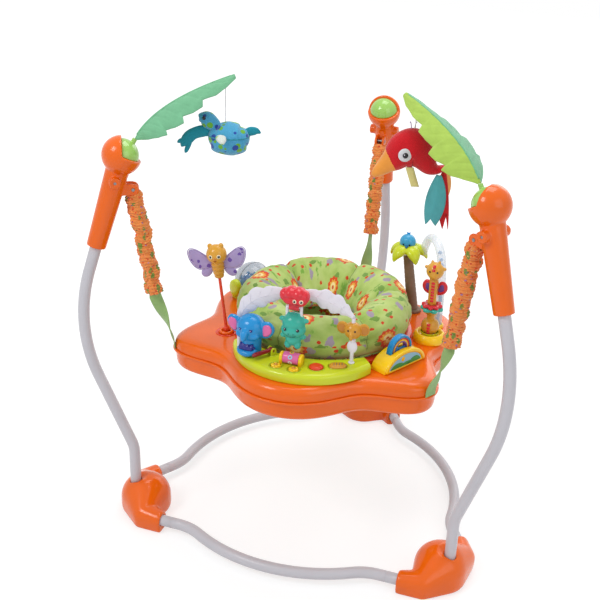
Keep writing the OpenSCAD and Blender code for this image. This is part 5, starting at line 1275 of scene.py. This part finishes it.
rim = tube([(u, -17.6, z - 0.4) for u, z in arc(50, 29.2, 30)], 4.2, 16, 3.4)
rain("rainbow_rim", join(rim, rod((-50, -17.6, 2.4), (50, -17.6, 2.4), 2.4)), YELLOW)
rain("rainbow_sky", plate(arc(HILL_W, HILL_H, 24), -17.6, 0.9), SKY)
for k, (u, w, h) in enumerate(((-22, 20, 12), (6, 24, 9), (26, 16, 13))):
    mound = [(min(max(x, -42), 42), z) for x, z in arc(w, h, 16, u)]
    mound = [(x, min(z, HILL_H * sqrt(max(0, 1 - (x / HILL_W) ** 2)) + 2)) for x, z in mound]
    rain("rainbow_hill_%d" % k, plate(mound, -18.4 - 0.15 * k, 0.5), GRASS)
rain("rainbow_sun", disc((-8, -18.6, 19), 4.6, 0.5, (0, -1, 0), 24, 0.1), YELLOW)
spokes = [rod((-15.4, 0, 0), (15.4, 0, 0), 2.9), rod((0, 0, -16), (0, 0, 16), 2)]
wheel("rainbow_blue", join(band(24.2, 29, 6), *spokes), BLUE, "rainbow_arch", "blue_plastic")
for name, r0, r1, material in (("red", 21, 24.4, RED), ("yellow", 18, 21.2, YELLOW), ("purple", 15, 18.2, PURPLE)):
    wheel("rainbow_" + name, band(r0, r1, 4.6), material)

# Giraffe tower
TOWER = on_tray((0.213, 0.030), 0, DECK)
tower, giraffe, rings = (maker(TOWER, body) for body in ("tray", "giraffe", "rings"))
PETAL = [(2, 92), (3, 106), (9, 119), (18, 121), (24.6, 113), (24, 102), (16, 93)]
INLAY = [(6, 98), (7, 107), (11, 115), (17, 116), (20.4, 110), (19.6, 102), (13, 97)]
foot = lathe([(32.4, 0), (33, 0.6), (33, 6), (32.4, 9), (30.6, 13.4), (28, 16.6), (26, 17.6), (23.8, 17.2), (22, 15),
              (21, 11.4), (18, 9.8), (12, 11.2), (9, 11.6), (5, 11.8), (5, 146), (1, 146)], 64)
tower("tower_foot", foot, YELLOW, "tower_base", "yellow_plastic")
cup = tube([(0, 0, z) for z in (8.6, 9.6, 12, 15, 17.6, 18.4)], [12.5, 14, 15.2, 16.5, 17.8, 17.6], 72, caps=False,
           lump=lambda s, t: 1 + 0.05 * max(0, cos(14 * t)) * sin(pi * s))
giraffe("tower_cup", cup, LIME)
square = smooth_loop([(-8, -6), (-6, -8), (6, -8), (8, -6), (8, 6), (6, 8), (-6, 8), (-8, 6)], 3)
neck = loft([[mm(x * k, y * k, z) for x, y in square]
             for z, k in ((79.3, 0.9), (80.2, 0.99), (82, 1), (112, 0.98), (136, 1), (147, 0.9))])
parts = [ball((0, 0, 30), 18, 40, 24), rod((0, 0, 44), (0, 0, 80), 8), rod((0, 0, 56.6), (0, 0, 63.4), 12)]
giraffe("giraffe_body", join(*parts, neck), AMBER, "giraffe", "amber_plastic")
head = [ball((0, 0, 147), (17.4, 16.8, 17.2)), ball((0, -9, 141), (11, 9, 9)), *pair((7, 2, 163), (3, 3, 4.4)),
        *pair((17, 2, 152), (5, 2.6, 3.6))]
giraffe("giraffe_head", join(*head), GOLD, remesh=0.001, soften=5)


def stripe(z0, z1, half, depth):
    """Row of raised red blocks up the giraffe's front; depth gives the front's place at a height."""
    blocks, z = [], z0
    while z + 6 < z1:
        blocks.append(loft([[mm(x * half * k, -depth(z + 3 + 2.4 * h) - e + 0.5, z + 3 + 2.4 * h * k)
                             for x, h in ((-1, -1), (1, -1), (1, 1), (-1, 1))]
                            for k, e in ((0.86, 0), (1, 0.3), (1, 0.9), (0.9, 1.2))]))
        z += 6.2
    return join(*blocks)


def dome(r, middle):
    """How far a ball's front stands out, by height."""
    return lambda z: sqrt(max(0, r ** 2 - (z - middle) ** 2))


def flower_ring(r, count, dip, z, t):
    """Ring with count lobes, t high, round the giraffe's neck."""
    def row(k, d):
        return [mm(q * cos(a), q * sin(a), z + t * d)
                for q, a in ((r * k - dip * (1 - cos(count * a)) / 2, a) for a in turns(96))]
    outer = [row(k, d) for k, d in ((0.94, 0), (1, 0.15), (1.02, 0.5), (1, 0.85), (0.94, 1))]
    inner = [[mm(8.1 * cos(a), 8.1 * sin(a), z + t * d) for a in turns(96)] for d in (1, 0)]
    return loft(outer + inner, closed=True)


marks = join(stripe(16, 44, 3.2, dome(18, 30)), stripe(83, 130, 3.4, lambda z: 8),
             stripe(150, 163, 3.0, lambda z: dome(17.2, 147)(z) * 0.98))
giraffe("giraffe_marks", marks, RED)
for s, side in SIDES:
    giraffe("giraffe_eye_" + side, disc((s * 7.4, -15.1, 149), 1.9, 1, (s * 0.5, -1, 0.1), 16), BLACK)
rings("ring_teal", flower_ring(22.4, 6, 5.4, 64.1, 6.8), TEAL, "tower_rings", "red_plastic")
rings("ring_red", flower_ring(20.6, 8, 5, 71.1, 6.8), RED)
fan = [rod((s * 4, 14, 72), (s * 6, 14, 100), 2) for s, _ in SIDES]
fan += [pad(half_loop(PETAL, s), 1.9, 14) for s, _ in SIDES]
rings("ring_petals", join(*fan), RED)
for s, side in SIDES:
    rings("petal_inlay_" + side, pad(half_loop(INLAY, s), 0.9, 12.9), DEEP_PURPLE)

# Palm, its bird and the clear bead tube
PALM = on_tray((0.150, 0.152), 0, DECK)
palm, crown = maker(PALM, "tray"), maker(PALM @ shift(*mm(-22, 12, 133)), "tray")
trunk = tube([(-22 * t, 12 * t, 118 * t) for t in (0.024 + 0.97 * k / 60 for k in range(61))],
             [(12 - 2 * k / 60) * (1 - 0.05 * (k % 5 == 0)) for k in range(61)], 36)
collar = lathe([(17.6, 0), (18, 0.8), (18, 4.4), (17.2, 5.8), (15, 6.4), (6, 6.8)], 40)
palm("palm_stem", join(trunk, collar), BROWN, "palm_trunk", "trunk_plastic")
fronds = [ball((0, 0, -1), (16, 16, 13))]
for i in range(5):
    c, s = cos(radians(72 * i + 20)), sin(radians(72 * i + 20))
    run, wide = [], []
    for t in (k / 14 for k in range(15)):
        far = 2 + 38 * sin(t * 1.35) / sin(1.35)
        run.append((c * far, s * far, 5 - 27 * t ** 1.8))
        wide.append(14.5 * (0.66 + 0.42 * sin(pi * min(1, t * 1.15))) * sqrt(max(0, 1 - t ** 3.2)))
    fronds.append(tube(run, [max(0.6, w) for w in wide], 24, [max(0.5, w * 0.66) for w in wide], side=(-s, c, 0)))
crown("palm_fronds", join(*fronds), LIME, "palm_crown", "lime_plastic", remesh=0.0011, soften=4)
bird = join(ball((-2, -3, 16), (17, 16.4, 16.6)), ball((3, 8, 12), (11, 11, 9)))
crown("bird_head", bird, plastic("bird_blue", (62, 164, 210)), remesh=0.001, soften=4)
for s, side in SIDES:
    crown("bird_eye_" + side, disc((s * 6.4 - 1, -18.1, 14), 2.1, 1, (s * 0.4 + 0.1, -1, -0.1), 16), BLACK)
beak = tube([(-0.6, -18, 10.6), (-0.6, -20.6, 9.6), (-0.6, -22.8, 8.4)], [3.6, 2.8, 0.4], 16)
crown("bird_beak", beak, plastic("bird_beak_blue", (40, 110, 160)))
tuft = [tube([(-2, -2, 31), (2 * k - 2, -1, 34), (4.6 * k - 2, 0, 36)], [1.8, 1.6, 0.4], 10) for k in (-1, 0.1, 1)]
crown("bird_tuft", join(*tuft), BLUE)
deck = maker(on_tray((0, 0), 0, DECK), "tray")
run = [bez((158, 172, 125), (168, 170, 182), (194, 132, 166), k / 16) for k in range(16)]
run += [bez((194, 132, 166), (216, 96, 150), (216, 92, 96), k / 16) for k in range(17)]
run += [Vector((216, 92, z)) for z in (70, 40, 12, 0)]
# clear shell whose near-white tint is painted highlight
deck("tube_shell", tube(run, 9, 32), SHEEN_PALE_CLEAR, "bead_tube", "clear_plastic")
marbles = []
for k in range(13):
    a, b = noise.noise(Vector((k * 2.3, 1, 0))), noise.noise(Vector((k * 1.9, 7, 3)))
    marbles.append(run[-1] + Vector((3 * a, 3 * b, 6 + 6.8 * k)))
marbles += [run[k] - Vector((0, 0, 3)) for k in (20, 23, 25)]
deck("tube_beads", join(*[ball(p, 4.1, 16, 10) for p in marbles]), BEADS)
cuff = lathe([(9.2, 0), (12.4, 0), (12.8, 1.2), (12.4, 7.4), (11.2, 8.2), (9.2, 8.2)], 40, closed=True)
maker(on_tray((0.216, 0.092), 0, DECK), "tray")("tube_cuff", cuff, YELLOW)


# Floor, light and camera

FLOOR, FLOOR_Z = 9, -0.0005
# name, place, size and power of each lamp
LIGHTS = (("key", (-1.4, -2.0, 2.6), 1.0, 31), ("fill", (2.2, -1.6, 1.8), 1.8, 13),
          ("top", (0.1, 0.5, 3.0), 1.4, 24), ("back", (0.6, 2.4, 1.8), 1.6, 12))


def seen_ray(t):
    """One where the background is looked at, straight, in gloss or through clear plastic."""
    path = t.nodes.new("ShaderNodeLightPath")
    last = path.outputs["Is Camera Ray"]
    for kind in ("Is Glossy Ray", "Is Transmission Ray"):
        most = t.nodes.new("ShaderNodeMath")
        most.operation = "MAXIMUM"
        t.links.new(last, most.inputs[0])
        t.links.new(path.outputs[kind], most.inputs[1])
        last = most.outputs[0]
    return last


def seen_or_lit(t, out, lit, seen):
    """Shows one shader where the background is looked at, and lights the scene with another."""
    both = t.nodes.new("ShaderNodeMixShader")
    for socket, v in zip(both.inputs, (seen_ray(t), lit, seen)):
        t.links.new(v, socket)
    t.links.new(both.outputs[0], out.inputs[0])


def floor():
    """Pale floor that glows more with its distance, so that it runs into the white background."""
    corners = [(x * FLOOR, y * FLOOR, FLOOR_Z) for x, y in ((-1, -1), (1, -1), (1, 1), (-1, 1))]
    o = drawn("floor", (corners, [(0, 1, 2, 3)]))
    m = Mat("floor")
    grain = m.ramp(m.noise(3, 2), [(0.3, grey(0.86)), (0.7, grey(0.88))])
    m.set(Base_Color=grain, Roughness=0.9, Specular_IOR_Level=0.1)
    o.data.materials.append(m.m)
    out = next(n for n in m.t.nodes if n.type == "OUTPUT_MATERIAL")
    plain = out.inputs[0].links[0].from_socket
    far = m.node("ShaderNodeVectorMath", operation="LENGTH")
    m.put(far.inputs[0], m.node("ShaderNodeNewGeometry").outputs["Position"])
    ease = m.node("ShaderNodeMapRange", interpolation_type="SMOOTHSTEP")
    for socket, v in zip(ease.inputs, (far.outputs["Value"], 0.4, 2.4, 0.66, 0.86)):
        m.put(socket, v)
    glow = m.feed(m.node("ShaderNodeEmission"), Strength=ease.outputs[0])
    pale = m.feed(m.node("ShaderNodeBsdfDiffuse"), Color=grey(0.42))
    both = m.node("ShaderNodeAddShader")
    m.put(both.inputs[0], glow.outputs[0])
    m.put(both.inputs[1], pale.outputs[0])
    seen_or_lit(m.t, out, plain, both.outputs[0])


def lights():
    world = bpy.context.scene.world or bpy.data.worlds.new("world")
    bpy.context.scene.world = world
    world.use_nodes = True
    t = world.node_tree
    t.nodes.clear()
    out = t.nodes.new("ShaderNodeOutputWorld")
    shades = []
    for colour, strength in (((0.97, 0.98, 1, 1), 0.54), (grey(1), 1.0)):
        n = t.nodes.new("ShaderNodeBackground")
        n.inputs[0].default_value, n.inputs[1].default_value = colour, strength
        shades.append(n.outputs[0])
    seen_or_lit(t, out, *shades)
    for name, at, size, power in LIGHTS:
        light = bpy.data.lights.new(name, "AREA")
        light.energy, light.size = power, size
        o = link(name, light)
        o.location = at
        o.rotation_euler = (Vector((0, AXIS_Y, DECK)) - Vector(at)).to_track_quat("-Z", "Y").to_euler()


def camera():
    """The photograph's camera, as it was fitted."""
    az, el, roll = radians(17.45), radians(23.86), radians(2.54)
    target, distance = Vector((0, AXIS_Y, 0.457)), 1.906
    back = Vector((sin(az) * cos(el), -cos(az) * cos(el), sin(el)))
    right = Vector((cos(az), sin(az), 0))
    up = back.cross(right)
    axes = (right * cos(roll) + up * sin(roll), up * cos(roll) - right * sin(roll), back)
    cam = bpy.data.cameras.new("camera")
    cam.sensor_width, cam.lens = 36, 57.06
    cam.shift_x, cam.shift_y = -0.04, 0.0018
    o = link("camera", cam)
    o.matrix_world = Matrix.Translation(target + back * distance) @ Matrix(axes).transposed().to_4x4()
    bpy.context.scene.camera = o


floor()
lights()
camera()
bpy.context.scene.view_settings.view_transform = "Standard"
bpy.context.view_layer.update()
